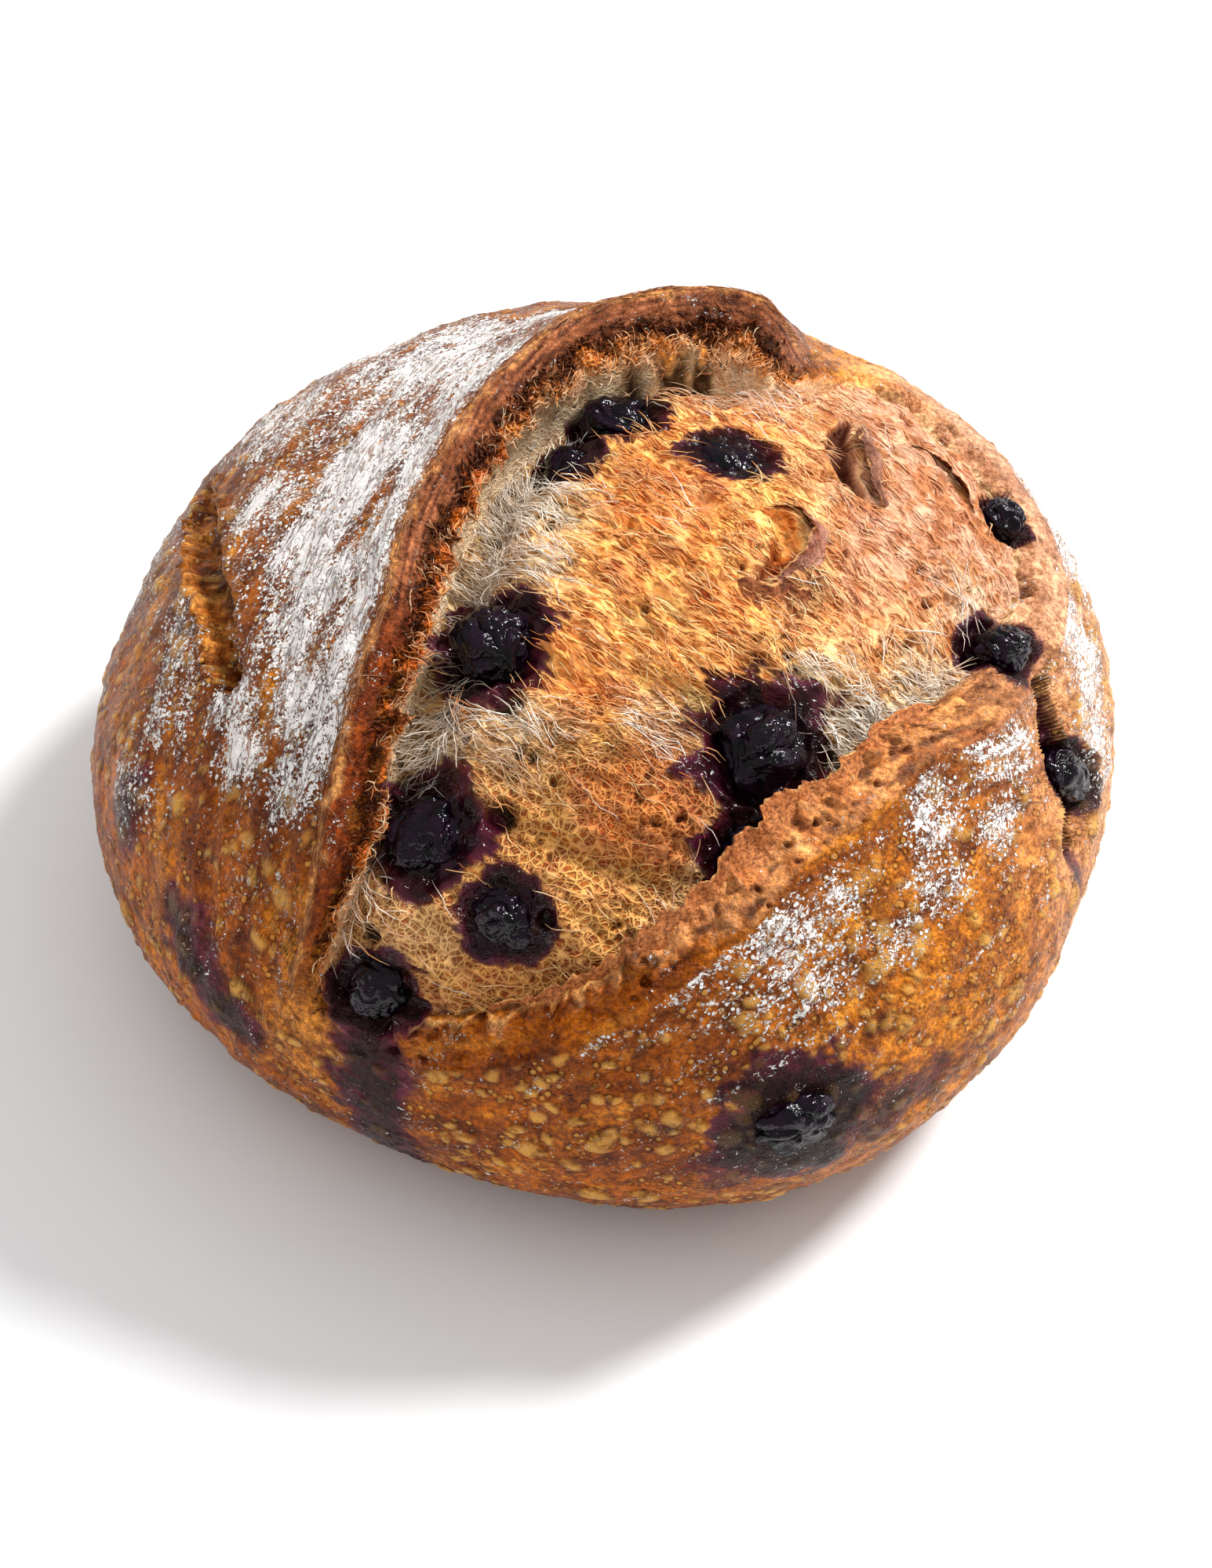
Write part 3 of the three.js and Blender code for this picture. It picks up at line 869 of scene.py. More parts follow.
print("crust")
crust = {
    "spokes": 420,
    "wallRings": (8, 9, 7, 13, 10, 7, 14, 20, 22),  # rings between the rows of the section, from the foot out
    "footRow": 3,
    "edgeRow": 6,  # where the torn edge is most ragged
    "sideRings": 112,
    "sideSpacing": 0.93,  # below 1 the rings crowd towards the base
    "bowl": (0.02, 0.3, 0.6, 0.85),  # rings of the hidden floor, as shares of the way to the foot
    "bowlDepth": 22.0,
    "footDepth": 7,  # how far the floor's last ring is below the foot
    "footInset": 3,  # and how far inside it
    "ragged": 1.6,
    "wallHeight": 40,  # of the middle of the two hidden end walls
}
crustRelief = {  # heights and depths in mm
    "mounds": 0.5,
    "grit": 0.15,
    "ridges": 0.5,
    "twist": 0.17,
    "bandLumps": 0.3,
    "crease": 1.3,
    "serration": 0.5,
    "wallLumps": 1.5,
    "wallFolds": 1.2,
    "cavities": 2.2,
    "lipLumps": 0.7,
    "lipPores": 1.5,
    "lipStreaks": 0.5,
    "splitDepth": 1.4,
    "splitHoles": 1.8,
    "splitFolds": 1.4,
    "splitRim": 0.8,
}


def smoothRows(section, at):
    # the section's rows, curved smoothly from one to the next
    rows = np.array(section, float)
    low = np.clip(at.astype(int), 0, len(rows) - 2)
    t = (at - low)[:, None]
    a, b = rows[np.maximum(low - 1, 0)], rows[low]
    c, d = rows[low + 1], rows[np.minimum(low + 2, len(rows) - 1)]
    slopeIn, slopeOut = (c - a) / 2, (d - b) / 2
    bend = slopeIn + slopeOut - 2 * (c - b)
    return b + t * (slopeIn + t * (3 * (c - b) - 2 * slopeIn - slopeOut + t * bend))


def crustRows():
    at = []
    for index, count in enumerate(crust["wallRings"]):
        at.extend(crust["footRow"] + index + np.arange(count) / count)
    return np.array(at + [len(earSection) - 1])


def alongEdge(turn):
    # length along the edge of the score up to a turn, from the turn 0
    fine = np.arange(0, 721.0)
    edge = keyed(scoreEdge, fine)
    points = bodyPoint(directionAt(fine, edge[:, None]))[:, 0]
    total = np.concatenate([[0], np.cumsum(np.linalg.norm(np.diff(points, axis=0), axis=1))])
    return np.interp(turn, fine, total)


def sectionAt(turn, at, along, ear, lip):
    # for each spoke and row of the section: mm out from the edge along the spoke, mm above the surface
    rows = ear[:, None, None] * smoothRows(earSection, at)
    rows = rows + (1 - ear)[:, None, None] * smoothRows(lipSection, at)
    torn = bell(at, crust["edgeRow"], 0.9)
    wave = np.stack([along, 0 * along, 0 * along], -1)
    tear = crust["ragged"] * (noise(wave, 5, 3) + 0.7 * noise(wave, 2.2, 4) + 0.5 * noise(wave, 1.1, 5))
    ragged = tear[:, None] * torn
    ragged = ragged * (0.2 + 0.8 * np.maximum(ear, lip))[:, None]
    under = keyed(undercut, turn)[:, None] * rows[..., 3]
    across = (rows[..., 0] + under + 1.4 * ragged) / slantAt(turn)[:, None]
    height, depth = keyed(edgeHeight, turn), keyed(creviceDepth, turn)
    rise = rows[..., 1] * height[:, None] + rows[..., 2] * depth[:, None] + 0.4 * ragged
    return across, rise + lip[:, None] * (0.9 * np.abs(ragged) + 0.6 * torn)


def crustSector(name, firstTurn, lastTurn):
    turn = np.linspace(firstTurn, lastTurn, crust["spokes"])
    edge = keyed(scoreEdge, turn)
    ear = np.clip(keyed(earShare, turn), 0, 1)
    lip = np.clip(keyed(lipShare, turn), 0, 1)
    along = alongEdge(turn)
    at = crustRows()
    across, rise = sectionAt(turn, at, along, ear, lip)
    # the section is squeezed where the hub or the base is near
    length = spokeReaches(turn)[1][:, -1]
    space = np.where(across < 0, 0.8 * edge[:, None], 0.6 * (length - edge)[:, None])
    reach = edge[:, None] + np.sign(across) * space * (1 - np.exp(-np.abs(across) / space))
    share = ((np.arange(crust["sideRings"]) + 1) / crust["sideRings"]) ** crust["sideSpacing"]
    sideReach = reach[:, -1:] + (length - reach[:, -1])[:, None] * share
    bowlReach = reach[:, :1] * np.array(crust["bowl"])
    bowlRise = np.full(bowlReach.shape, -crust["bowlDepth"])
    allReach = np.concatenate([bowlReach, reach[:, :1] - crust["footInset"], reach, sideReach], 1)
    footRise = rise[:, :1] - crust["footDepth"]
    allRise = np.concatenate([bowlRise, footRise, rise, np.zeros(sideReach.shape)], 1)
    hidden = bowlReach.shape[1] + 1
    sideRows = len(earSection) - 1 + 6 * share
    allRows = np.concatenate([np.zeros(hidden), at, sideRows])
    direction = directionAt(turn, allReach)
    base, normal = bodyPoint(direction), bodyNormal(direction)
    acrossMm = (allReach - edge[:, None]) * slantAt(turn)[:, None]
    grainField = np.stack([np.broadcast_to(along[:, None], allReach.shape), acrossMm, 0 * acrossMm], -1)
    rise, fields = crustSurface(base, grainField, allRows, ear[:, None], lip[:, None], turn[:, None], allRise)
    # strands lie along the edge on the outside, and point up the wall under the ear
    outside = step(7.6, 8.0, allRows)[..., None]
    fields["comb"] = unit(np.gradient(base, axis=0) * outside - np.gradient(base, axis=1) * (1 - outside))
    points = base + normal * rise[..., None]
    points[:, :hidden] = (base + normal * (allRise + reliefAt(base))[..., None])[:, :hidden]
    return closeSector(name, points, fields)


blisterKinds = [  # grid, seed, height, share of the cells with one
    (9, 91, 0.6, 0.35), (6, 92, 0.5, 0.6), (4, 93, 0.4, 0.7),
]


def blistersAt(base, zone):
    # round gas blisters under the skin: how full each is, the dark ring at its foot, its height
    full, rim, rise = (np.zeros(base.shape[:-1]) for _ in range(3))
    bent = base + noiseVector(base, 3.5, 87)
    for size, seed, height, share in blisterKinds:
        near, which = cells(bent, size, seed)
        radius = 0.17 + 0.24 * np.mod(which * 7.31, 1)
        there = zone * (np.mod(which * 13.7, 1) < share)
        dome = np.sqrt(np.clip(1 - (near / radius) ** 2, 0, 1)) * there
        rise += height * dome
        full = np.maximum(full, dome)
        rim = np.maximum(rim, there * bell(near / radius, 1.08, 0.2))
    return full, rim, rise


def upward(rise):
    return np.stack([0 * rise, 0 * rise, rise], -1)


def twistAt(along, across):
    # lengthwise ridges that twist slowly round the ear, from -1 to 1
    wander = drawnNoise(along, across, 9, 3, 21)
    return np.sin(2 * math.pi * (across / 1.25 + along / 17 + 0.6 * wander))


def cavitiesAt(base, size=4.6, seed=28):
    # torn-open bubbles, 1 in their middle
    near, which = cells(base + 0.9 * noise(base, 2.4, seed)[..., None], size, seed)
    return step(0.36, 0.14, near) * (which > 0.5)


splitRagged = 2.2  # how torn the edges of the splits are


def crustMarks(base, solid, along, across):
    # what both the relief and the colours of the crust follow
    caveShare, caveDrop = cavesAt(base)
    return {
        "twist": twistAt(along, across),
        "wallLumps": layered(solid, 3.6, 3, 25),
        "cavities": cavitiesAt(solid),
        "caveShare": caveShare,
        "caveDrop": caveDrop,
        "lipPores": cavitiesAt(base, 3.0, 29),
        "lipStreaks": drawnNoise(along, across, 5, 1.6, 38),
        "splitHoles": cavitiesAt(base, 4.4, 44),
        "splitAways": [spread(base, split["line"], splitRagged) for split in splits],
    }


def crustSurface(base, grainField, rows, ear, lip, turn, rise):
    # everything that stands on the crust or colours it; rows count along the section: 3 to 6 the wall
    # under the ear, 6.7 its crease, 7 to 8 the ear's band, 8.2 its ridge, from 9 on the outer skin
    relief = crustRelief
    along, across = grainField[..., 0], grainField[..., 1]
    rise = rise + reliefAt(base) + socketsAt(base)
    solid = base + upward(rise)
    marks = crustMarks(base, solid, along, across)
    top = step(2, 14, base[..., 2])
    outside = step(8.2, 9.2, rows)
    grit = relief["grit"] * noise(base, 1.5, 15)
    rise = rise + top * outside * (relief["mounds"] * layered(base, 8, 4, 11) + grit)
    ridges = np.abs(noise(grainField * [1 / 26, 1 / 6, 0], 1, 23))
    rise = rise + outside * ear * step(75, 20, across) * (0.9 - 1.8 * ridges) * relief["ridges"]
    # twisted ridges on the ear's band, its dark crease and the serrated ridge above it
    band = bell(rows, 7.5, 0.5, 4) * ear * (1 - 0.85 * step(165, 190, turn))
    rise = rise + band * (relief["twist"] * marks["twist"] + relief["bandLumps"] * layered(base, 2.6, 3, 22))
    rise = rise - relief["crease"] * bell(rows, 6.7, 0.25) * ear
    serrated = bell(rows, 8.15, 0.25) * ear
    rise = rise + serrated * relief["serration"] * noise(grainField * [1 / 1.1, 1 / 3.0, 0], 1, 24)
    # the rough wall under the ear
    wall = step(6.9, 6.3, rows) * step(3, 4, rows)
    folds = relief["wallFolds"] * np.abs(noise(solid, 7, 26))
    rise = rise + wall * (relief["wallLumps"] * marks["wallLumps"] + folds)
    rise = rise - relief["cavities"] * wall * marks["cavities"] - marks["caveDrop"] * step(5.6, 5.0, rows)
    # the porous lip
    lipTop = step(4.6, 5.2, rows) * step(8.6, 7.8, rows) * lip
    pores = relief["lipPores"] * marks["lipPores"]
    rise = rise + lipTop * (relief["lipLumps"] * layered(base, 3, 3, 27) - pores)
    rise = rise - relief["lipStreaks"] * lipTop * step(0.1, 0.5, marks["lipStreaks"])
    splitFloor = relief["splitDepth"] + relief["splitHoles"] * marks["splitHoles"]
    splitFloor = splitFloor + relief["splitFolds"] * np.abs(noise(base, 4.5, 45))
    for away in marks["splitAways"]:
        rise = rise - outside * step(1.05, 0.75, away) * splitFloor
        rise = rise + outside * relief["splitRim"] * bell(away, 1.15, 0.2)
    zone = outside * top * np.clip(step(96, 62, base[..., 2]) + 0.15, 0, 1)
    blister, rim, raised = blistersAt(base, zone)
    rise = rise + raised
    tone, flour, wet, skin, torn = crustColours(base, marks, along, across, rows, ear, lip, turn)
    fringe = bell(rows, 5.5, 0.7) * ear * (1 - 0.8 * step(0.1, 0.5, wet)) * (1 - 0.8 * marks["caveShare"])
    return rise, {
        "tone": opaque(tone),
        "flour": flour,
        "wet": wet,
        "skin": skin,
        "torn": torn,
        "blister": blister * skin,
        "rim": rim * (1 - flour) * skin,
        "grain": (grainField + upward(rise) * ear[..., None]) * millimetre,
        "fringe": fringe,
        "spikes": bell(rows, 6.45, 0.4) * ear,
        "ridge": bell(rows, 8.3, 0.35) * ear,
    }


flourPatches = [  # place, radius, strength
    ((-24, 32, 101), 12, 0.9), ((-35, 15, 102), 8, 0.8), ((-34, 49, 94), 16, 0.9), ((-48, 72, 74), 16, 0.7),
    ((-28, 61, 90), 14, 0.8), ((-15, 61, 93), 12, 0.8), ((-46, 19, 98), 13, 1.0), ((-49, 10, 98), 11, 1.0),
    ((-56, 1, 96), 11, 0.95), ((-51, -12, 98), 9, 0.95), ((-58, -20, 94), 10, 0.8),
    ((-54, -34, 92), 10, 0.85),
    ((-69, -29, 86), 8, 0.75), ((-68, -38, 84), 8, 0.75), ((-66, 19, 89), 10, 0.7), ((-64, 47, 80), 16, 0.65),
    ((-55, -48, 86), 9, 0.6), ((-84, -24, 75), 9, 0.5), ((-89, -33, 65), 8, 0.55), ((-90, 25, 60), 16, 0.45),
    ((73, -34, 78), 8, 0.64), ((67, -37, 83), 7, 0.6), ((57, -52, 83), 9, 0.62), ((60, -61, 76), 9, 0.48),
    ((38, -71, 82), 8, 0.5), ((31, -77, 80), 10, 0.56), ((22, -75, 84), 8, 0.56), ((14, -80, 81), 8, 0.6),
    ((6, -83, 78), 8, 0.68), ((-5, -87, 72), 7, 0.6), ((-12, -88, 69), 4, 1.0), ((71, -47, 74), 8, 0.55),
    ((53, -72, 73), 7, 0.45), ((38, -81, 73), 8, 0.5), ((89, 27, 66), 15, 0.9), ((84, -1, 75), 8, 0.9),
    ((90, -4, 66), 11, 0.85), ((92, -16, 58), 11, 0.7), ((86, 42, 62), 15, 0.8), ((-55, 78, 50), 22, 0.6),
    ((10, 92, 52), 20, 0.5), ((60, 74, 50), 20, 0.45), ((-40, 46, 95), 30, 0.55), ((-58, 0, 94), 20, 0.42),
    ((-76, -8, 82), 20, 0.35), ((30, -80, 78), 22, 0.35),
]


def skinTone(base, along, across, merged):
    # the baked skin: amber in front, pale pink on the right that is partly painted light, streaks along the
    # score, painted shade towards the base
    x, y, z = base[..., 0], base[..., 1], base[..., 2]
    amber = np.clip(step(96, 66, z) * step(30, -50, y) + 0.35 * layered(base, 18, 3, 31), 0, 1)
    right = step(62, 92, x) * step(-75, -25, y)
    streaky = drawnNoise(along, across, 24, 6, 33, 3)
    return painted(np.broadcast_to(palette["umber"], base.shape), [
        (palette["amber"], amber),
        (palette["ochre"], 0.75 * amber * step(0, 60, x)),
        # pale pink on the right side: partly painted light
        (palette["litBlush"], 0.95 * right),
        (palette["chestnut"], 0.7 * step(0, 0.7, streaky) * (1 - right)),
        (palette["honey"], 0.5 * step(0.1, 0.8, -streaky) * (1 - right)),
        # darker towards the base: painted shade near the floor
        (palette["chestnut"], 0.4 * step(34, 6, z)),
        # where the crumb runs into the crust without an edge, pinkish on the right as partly painted light
        (mix(palette["golden"], palette["litRose"], step(35, 70, x)), merged * step(26, 6, across)),
    ])


def earTone(tone, marks, along, across, rows, at, ear, turn):
    # pale serrated ridge, purple brown band with painted light and shade on its ridges, dark crease that is
    # burnt and painted shade, amber wall with painted shade in its dips and holes, cream at its foot
    lower = step(150, 185, turn) * np.ones(rows.shape)
    upper = step(112, 92, turn)
    fibres = drawnNoise(along, across, 7, 0.7, 36)
    # the band is paler on the crests of its twisted ridges and darker in the grooves, painted light and
    # shade, with streaks of its own colour along the fibres
    stripe = 0.42 + (0.26 - 0.16 * lower) * marks["twist"] + 0.45 * fibres - 0.12 * lower
    darkBand = mix(palette["maroon"], palette["rust"], lower)
    paleBand = mix(palette["clay"], palette["russet"], lower)
    lumps = marks["wallLumps"] * ear * step(6.3, 5.7, rows)
    hollow = marks["cavities"] * step(6.9, 6.3, rows)
    return painted(tone, [
        (mix(darkBand, paleBand, np.clip(stripe, 0, 1)), step(6.75, 6.95, at) * step(8.3, 7.9, at) * ear),
        (palette["ridge"], 0.8 * bell(at, 8.2, 0.22) * ear),
        # burnt dough and painted shade in the crease under the band
        (palette["charAndShade"], 0.92 * (1 - 0.5 * lower) * ear * step(6.98, 6.8, at) * step(5.9, 6.4, at)),
        (palette["wallTop"], ear * step(6.6, 6.15, at)),
        (palette["wallMiddle"], ear * step(6.2, 5.8, at)),
        (palette["wallFoot"], 0.95 * ear * step(5.8, 5.1, at)),
        (palette["belowWall"], 0.6 * step(4.6, 3.6, rows)),
        (palette["wallBack"], 0.5 * upper * ear * step(6.6, 6.2, at) * step(4.5, 6, rows)),
        # painted shade in the dips between the lumps
        (palette["wallDipShade"], 0.4 * step(0.0, 0.6, -lumps)),
        # painted shade inside the torn bubbles
        (palette["cavityShade"], 0.85 * hollow * step(3, 4.5, rows)),
        # painted shade inside the holes
        (palette["caveShade"], 0.95 * marks["caveShare"] * step(5.5, 5.0, at)),
    ])


def lipTone(tone, base, marks, rows, at, lip, lipBand):
    # porous, with painted shade in its pores and grooves, a pale torn edge and a painted shadow under it
    porous = np.clip(marks["lipPores"] + step(0.1, 0.55, marks["lipStreaks"]), 0, 1)
    return painted(tone, [
        (mix(palette["lipDark"], palette["lipPale"], step(-0.4, 0.4, noise(base, 4, 48))), 0.95 * lipBand),
        # painted shade in the pores and grooves
        (palette["lipPoreShade"], 0.9 * lipBand * porous),
        (palette["lipEdge"], 0.75 * bell(at, 5.4, 0.35) * lip),
        # painted shadow under the lip's torn edge
        (palette["charAndShade"], 0.6 * lip * step(5.0, 4.4, rows)),
    ])


splitLight = np.array([2.6, 0, 1.2])  # how far the rim's shade falls into a split
# splitHoleShade: what is left of the inside's colour in the holes, as painted shade
splitHoleShade = np.array([0.3, 0.2, 0.12])  # what is left of the inside's colour in the holes


def splitTone(tone, base, marks, rows):
    # torn dough inside the cracks, painted shade in its holes, painted shade under the rim and a pale rim
    there = step(8.5, 9, rows)
    deep = np.clip(marks["splitHoles"] + 0.7 * step(0.0, 0.6, layered(base, 4, 3, 30)), 0, 1)
    paler = step(0.0, 0.7, layered(base, 5, 2, 49))
    for split, away in zip(splits, marks["splitAways"]):
        inside, rim = split["inside"], split["rim"]
        shaded = step(1.0, 0.5, spread(base - splitLight, split["line"], splitRagged))
        shaded = shaded * step(1.05, 0.85, away)
        tone = painted(tone, [
            (mix(inside, rim, paler), 0.95 * step(1.1, 0.9, away) * there),
            # painted shade in the holes
            (inside * splitHoleShade, deep * step(1.0, 0.7, away) * there),
            (inside * 0.22, 0.85 * shaded * there),
            (rim, 0.75 * bell(away, 1.05, 0.12) * there * (1 - shaded)),
        ])
    return tone


def flourAt(base, across, rows, ear, turn, splitAways):
    # patches, a thin dust on the upper crust, more beside the ear, none in the splits
    z = base[..., 2]
    flour = blobs(base, flourPatches) * step(8.1, 9.0, rows)
    flour = np.maximum(flour, (0.04 + 0.09 * step(50, 80, z)) * step(8.1, 9.0, rows) * step(10, 40, z))
    besideEar = bell(across, 5, 7) * step(100, 125, turn) * step(218, 200, turn) * ear
    flour = np.maximum(flour, 0.8 * besideEar * step(8.1, 8.8, rows))
    for away in splitAways:
        flour = flour * step(0.9, 1.3, away)
    return flour


def crustColours(base, marks, along, across, rows, ear, lip, turn):
    at = rows + 0.45 * noise(base, 5, 35) + 0.3 * noise(base, 1.8, 37)  # rows with wobbling borders
    bandEnd = 6.0 + 2.0 * step(266, 302, turn)
    lipBand = step(4.6, 5.2, at) * step(bandEnd + 0.4, bandEnd - 0.4, at) * lip
    tone = skinTone(base, along, across, (1 - ear) * (1 - lip))
    tone = earTone(tone, marks, along, across, rows, at, ear, turn)
    tone = lipTone(tone, base, marks, rows, at, lip, lipBand)
    tone = splitTone(tone, base, marks, rows)
    flour = flourAt(base, across, rows, ear, turn, marks["splitAways"])
    # juice keeps off the wall's upper part, the ear and most of the lip
    wallFrom = 5.4 - 1.9 * step(140, 120, turn)
    clean = ear * step(wallFrom - 0.3, wallFrom + 0.4, rows) * step(9, 8.3, rows)
    kept = step(258, 268, turn) * step(342, 332, turn)
    clean = np.maximum(clean, lip * step(4.0, 4.6, rows) * step(11.5, 10.5, rows) * kept)
    tone, wet, stain = stained(base, tone, clean)
    torn = np.maximum(0.7 * ear * step(6.5, 6.0, at), 0.15 * lipBand)
    torn = torn * (1 - stain) * (1 - marks["caveShare"])
    skin = step(8.3, 8.8, rows) * (1 - 0.9 * stain)
    return tone, np.clip(flour, 0, 1) * (1 - 0.5 * stain), wet, skin, torn


splits = [  # cracks in the skin that show torn dough: points along with a half width, inside, rim
    {"line": ((-80, 41, 67, 1.5), (-80, 26, 75, 4), (-77.8, 12, 82, 5), (-75.5, -2, 85.4, 4),
              (-73, -14, 86.2, 2.6), (-71, -25, 86, 1.0)),
     "inside": linear(160, 88, 28), "rim": linear(214, 152, 82)},
    {"line": ((79, -16, 78, 2.5), (83, -26, 70, 3.5), (88, -29, 60, 3.5), (88, -36, 54, 2)),
     "inside": linear(70, 26, 34), "rim": linear(244, 206, 160)},
    {"line": ((-56.4, -69.3, 67.5, 2.5), (-54.3, -72.6, 64.8, 3), (-50, -76, 62, 1.5)),
     "inside": linear(216, 134, 46), "rim": linear(240, 180, 100)},
]


stainRuns = [  # dark juice under or over the skin: points along, width, strength
    (((-43, -79, 65), (-44, -82, 59), (-44, -84, 52)), 12, 1.0),
    (((-44, -84, 52), (-43, -87, 42), (-43, -86, 27), (-41, -85, 14)), 9, 1.0),
    (((-89, -33, 65), (-90, -36, 58)), 6, 0.85),
    (((-80, -56, 56), (-75, -65, 49), (-70, -70, 42)), 9, 0.95),
    (((22, -98, 42), (34, -97, 44), (50, -92, 44), (60, -86, 44)), 9, 0.85),
    (((80, -20, 74), (86, -30, 62), (88, -38, 52), (90, -42, 42)), 3.5, 0.9),
]


def stained(base, tone, clean):
    # juice round each berry and along the runs: the stained tone, how wet it is, how much is stained
    warp = 0.45 * layered(base, 10, 3, 41) + 0.35 * noise(base, 5, 47)
    warp = warp + 0.32 * noise(combedPlace(base), 1, 46)
    plumShare, inkShare, wet = (np.zeros(base.shape[:-1]) for _ in range(3))
    for name, berry in berries.items():
        local, flat = roundBerry(base, name)
        size = (berry["half"][0] + berry["half"][1]) / 2
        away = (flat - 1) * size / berry["stain"] + warp + 9 * step(10, 17, np.abs(local[..., 2]))
        plumShare = np.maximum(plumShare, step(1.1, 0.8, away))
        inkShare = np.maximum(inkShare, 0.93 * step(0.95, 0.25, away))
        wet = np.maximum(wet, (0.4 + 0.6 * berry["wet"]) * step(1.0, 0.8, away))
    for line, width, strength in stainRuns:
        away = distanceTo(base, line) / width + 0.8 * warp
        plumShare = np.maximum(plumShare, strength * step(1.05, 0.6, away))
        inkShare = np.maximum(inkShare, strength * 0.8 * step(0.65, 0.15, away))
        wet = np.maximum(wet, 0.5 * strength * step(0.8, 0.3, away))
    plumShare, inkShare, wet = (share * (1 - clean) for share in (plumShare, inkShare, wet))
    tone = painted(tone, [(palette["plum"], 0.97 * plumShare), (palette["ink"], 0.95 * inkShare)])
    return tone, wet, np.maximum(plumShare, inkShare)


def fan(middle, first, second):
    # triangles from one point to the pairs of two rows
    return np.stack([np.full(len(first), middle), first, second], -1)


def closeSector(name, points, fields):
    # the sector as one closed body: the web's faces, the base, the floor's middle and two end walls
    spokes, rings = points.shape[:2]
    count = spokes * rings
    index = np.arange(count).reshape(spokes, rings)
    faces = gridFaces(index, turned=True)
    hub = points[:, 0].mean(0)
    extra = [hub, np.array([hub[0], hub[1], 0.0])]
    hubIndex, underIndex = count, count + 1
    first, last = index[:, 0], index[:, -1]
    faces.append(fan(hubIndex, first[:-1], first[1:]))
    faces.append(fan(underIndex, last[1:], last[:-1]))
    inward = np.array([hub[0], hub[1], crust["wallHeight"]])
    for end, flip in ((0, False), (-1, True)):
        loop = np.concatenate([[hubIndex], index[end], [underIndex]])
        onward = np.roll(loop, -1)
        middle = count + len(extra)
        extra.append((points[end][::8].mean(0) + inward) / 2)
        faces.append(fan(middle, onward, loop) if flip else fan(middle, loop, onward))
    allPoints = insideBox(np.concatenate([points.reshape(-1, 3), np.array(extra)]))
    fields = withExtra(fields, count, len(extra))
    return makePiece(name, allPoints, np.concatenate(faces), finishes["crust"], fields)


sectorEnds = (62.0, 240.0, 422.0)  # turns where one sector of the crust meets the other
crustEar = crustSector("crust_ear", sectorEnds[0], sectorEnds[1])
crustLip = crustSector("crust_lip", sectorEnds[1], sectorEnds[2])


print("crumb")
crumb = {
    "cells": 308,  # along each side of the grid
    "hub": (0.12, -0.24, 0.96),
    "past": 2.0,  # how far it goes on inside the crust
    "thickness": 8,
    # mm across from the edge of the score, share of the crevice's depth
    "dipEar": ((-21, 0), (-16, 0.4), (-12.5, 0.95), (-9, 1), (0, 1)),
    "dipLip": ((-18, 0), (-12, 0.35), (-7, 0.85), (-4.5, 1), (0, 1)),
    "rentRagged": 0.5,
}
crumbRelief = {  # heights and depths in mm
    "clumps": 1.1,
    "fibres": 0.35,
    "fuzz": 0.25,
    "mounds": 1.0,
    "swells": 1.3,
    "hollows": 2.0,
    "smallHollows": 0.6,
    "wetFolds": 0.8,
    "wetGrit": 0.25,
}


def squareToDisc(a, b):
    # a square grid from -1 to 1 as shares of a disc's radius and bearings
    safeA, safeB = np.where(a == 0, 1e-9, a), np.where(b == 0, 1e-9, b)
    wide = np.abs(a) > np.abs(b)
    share = np.where(wide, a, b)
    bearing = np.where(wide, math.pi / 4 * b / safeA, math.pi / 2 - math.pi / 4 * a / safeB)
    u, v = share * np.cos(bearing), share * np.sin(bearing)
    return np.hypot(u, v), np.arctan2(v, u)


def crumbGrid():
    # directions of a grid that fills the opening in the crust
    hub = unit(np.array(crumb["hub"]))
    east = unit(np.cross([0, 1, 0], hub))
    north = np.cross(hub, east)
    turn = np.arange(0, 360, 0.5)
    ear = np.clip(keyed(earShare, turn), 0, 1)
    foot = ear * (earSection[3][0] + earSection[3][3] * keyed(undercut, turn))
    foot = foot + (1 - ear) * (lipSection[3][0] + lipSection[3][3] * keyed(undercut, turn)) + crumb["past"]
    rim = directionAt(turn, (keyed(scoreEdge, turn) + foot / slantAt(turn))[:, None])[:, 0]
    angle = np.degrees(np.arctan2(rim @ north, rim @ east))
    order = np.argsort(angle)
    fall = np.arccos(rim @ hub)
    line = np.linspace(-1, 1, crumb["cells"] + 1)
    share, bearing = squareToDisc(*np.meshgrid(line, line, indexing="ij"))
    fallHere = share * np.interp(np.degrees(bearing), angle[order], fall[order], period=360)
    flat = np.cos(bearing)[..., None] * east + np.sin(bearing)[..., None] * north
    return np.cos(fallHere)[..., None] * hub + np.sin(fallHere)[..., None] * flat


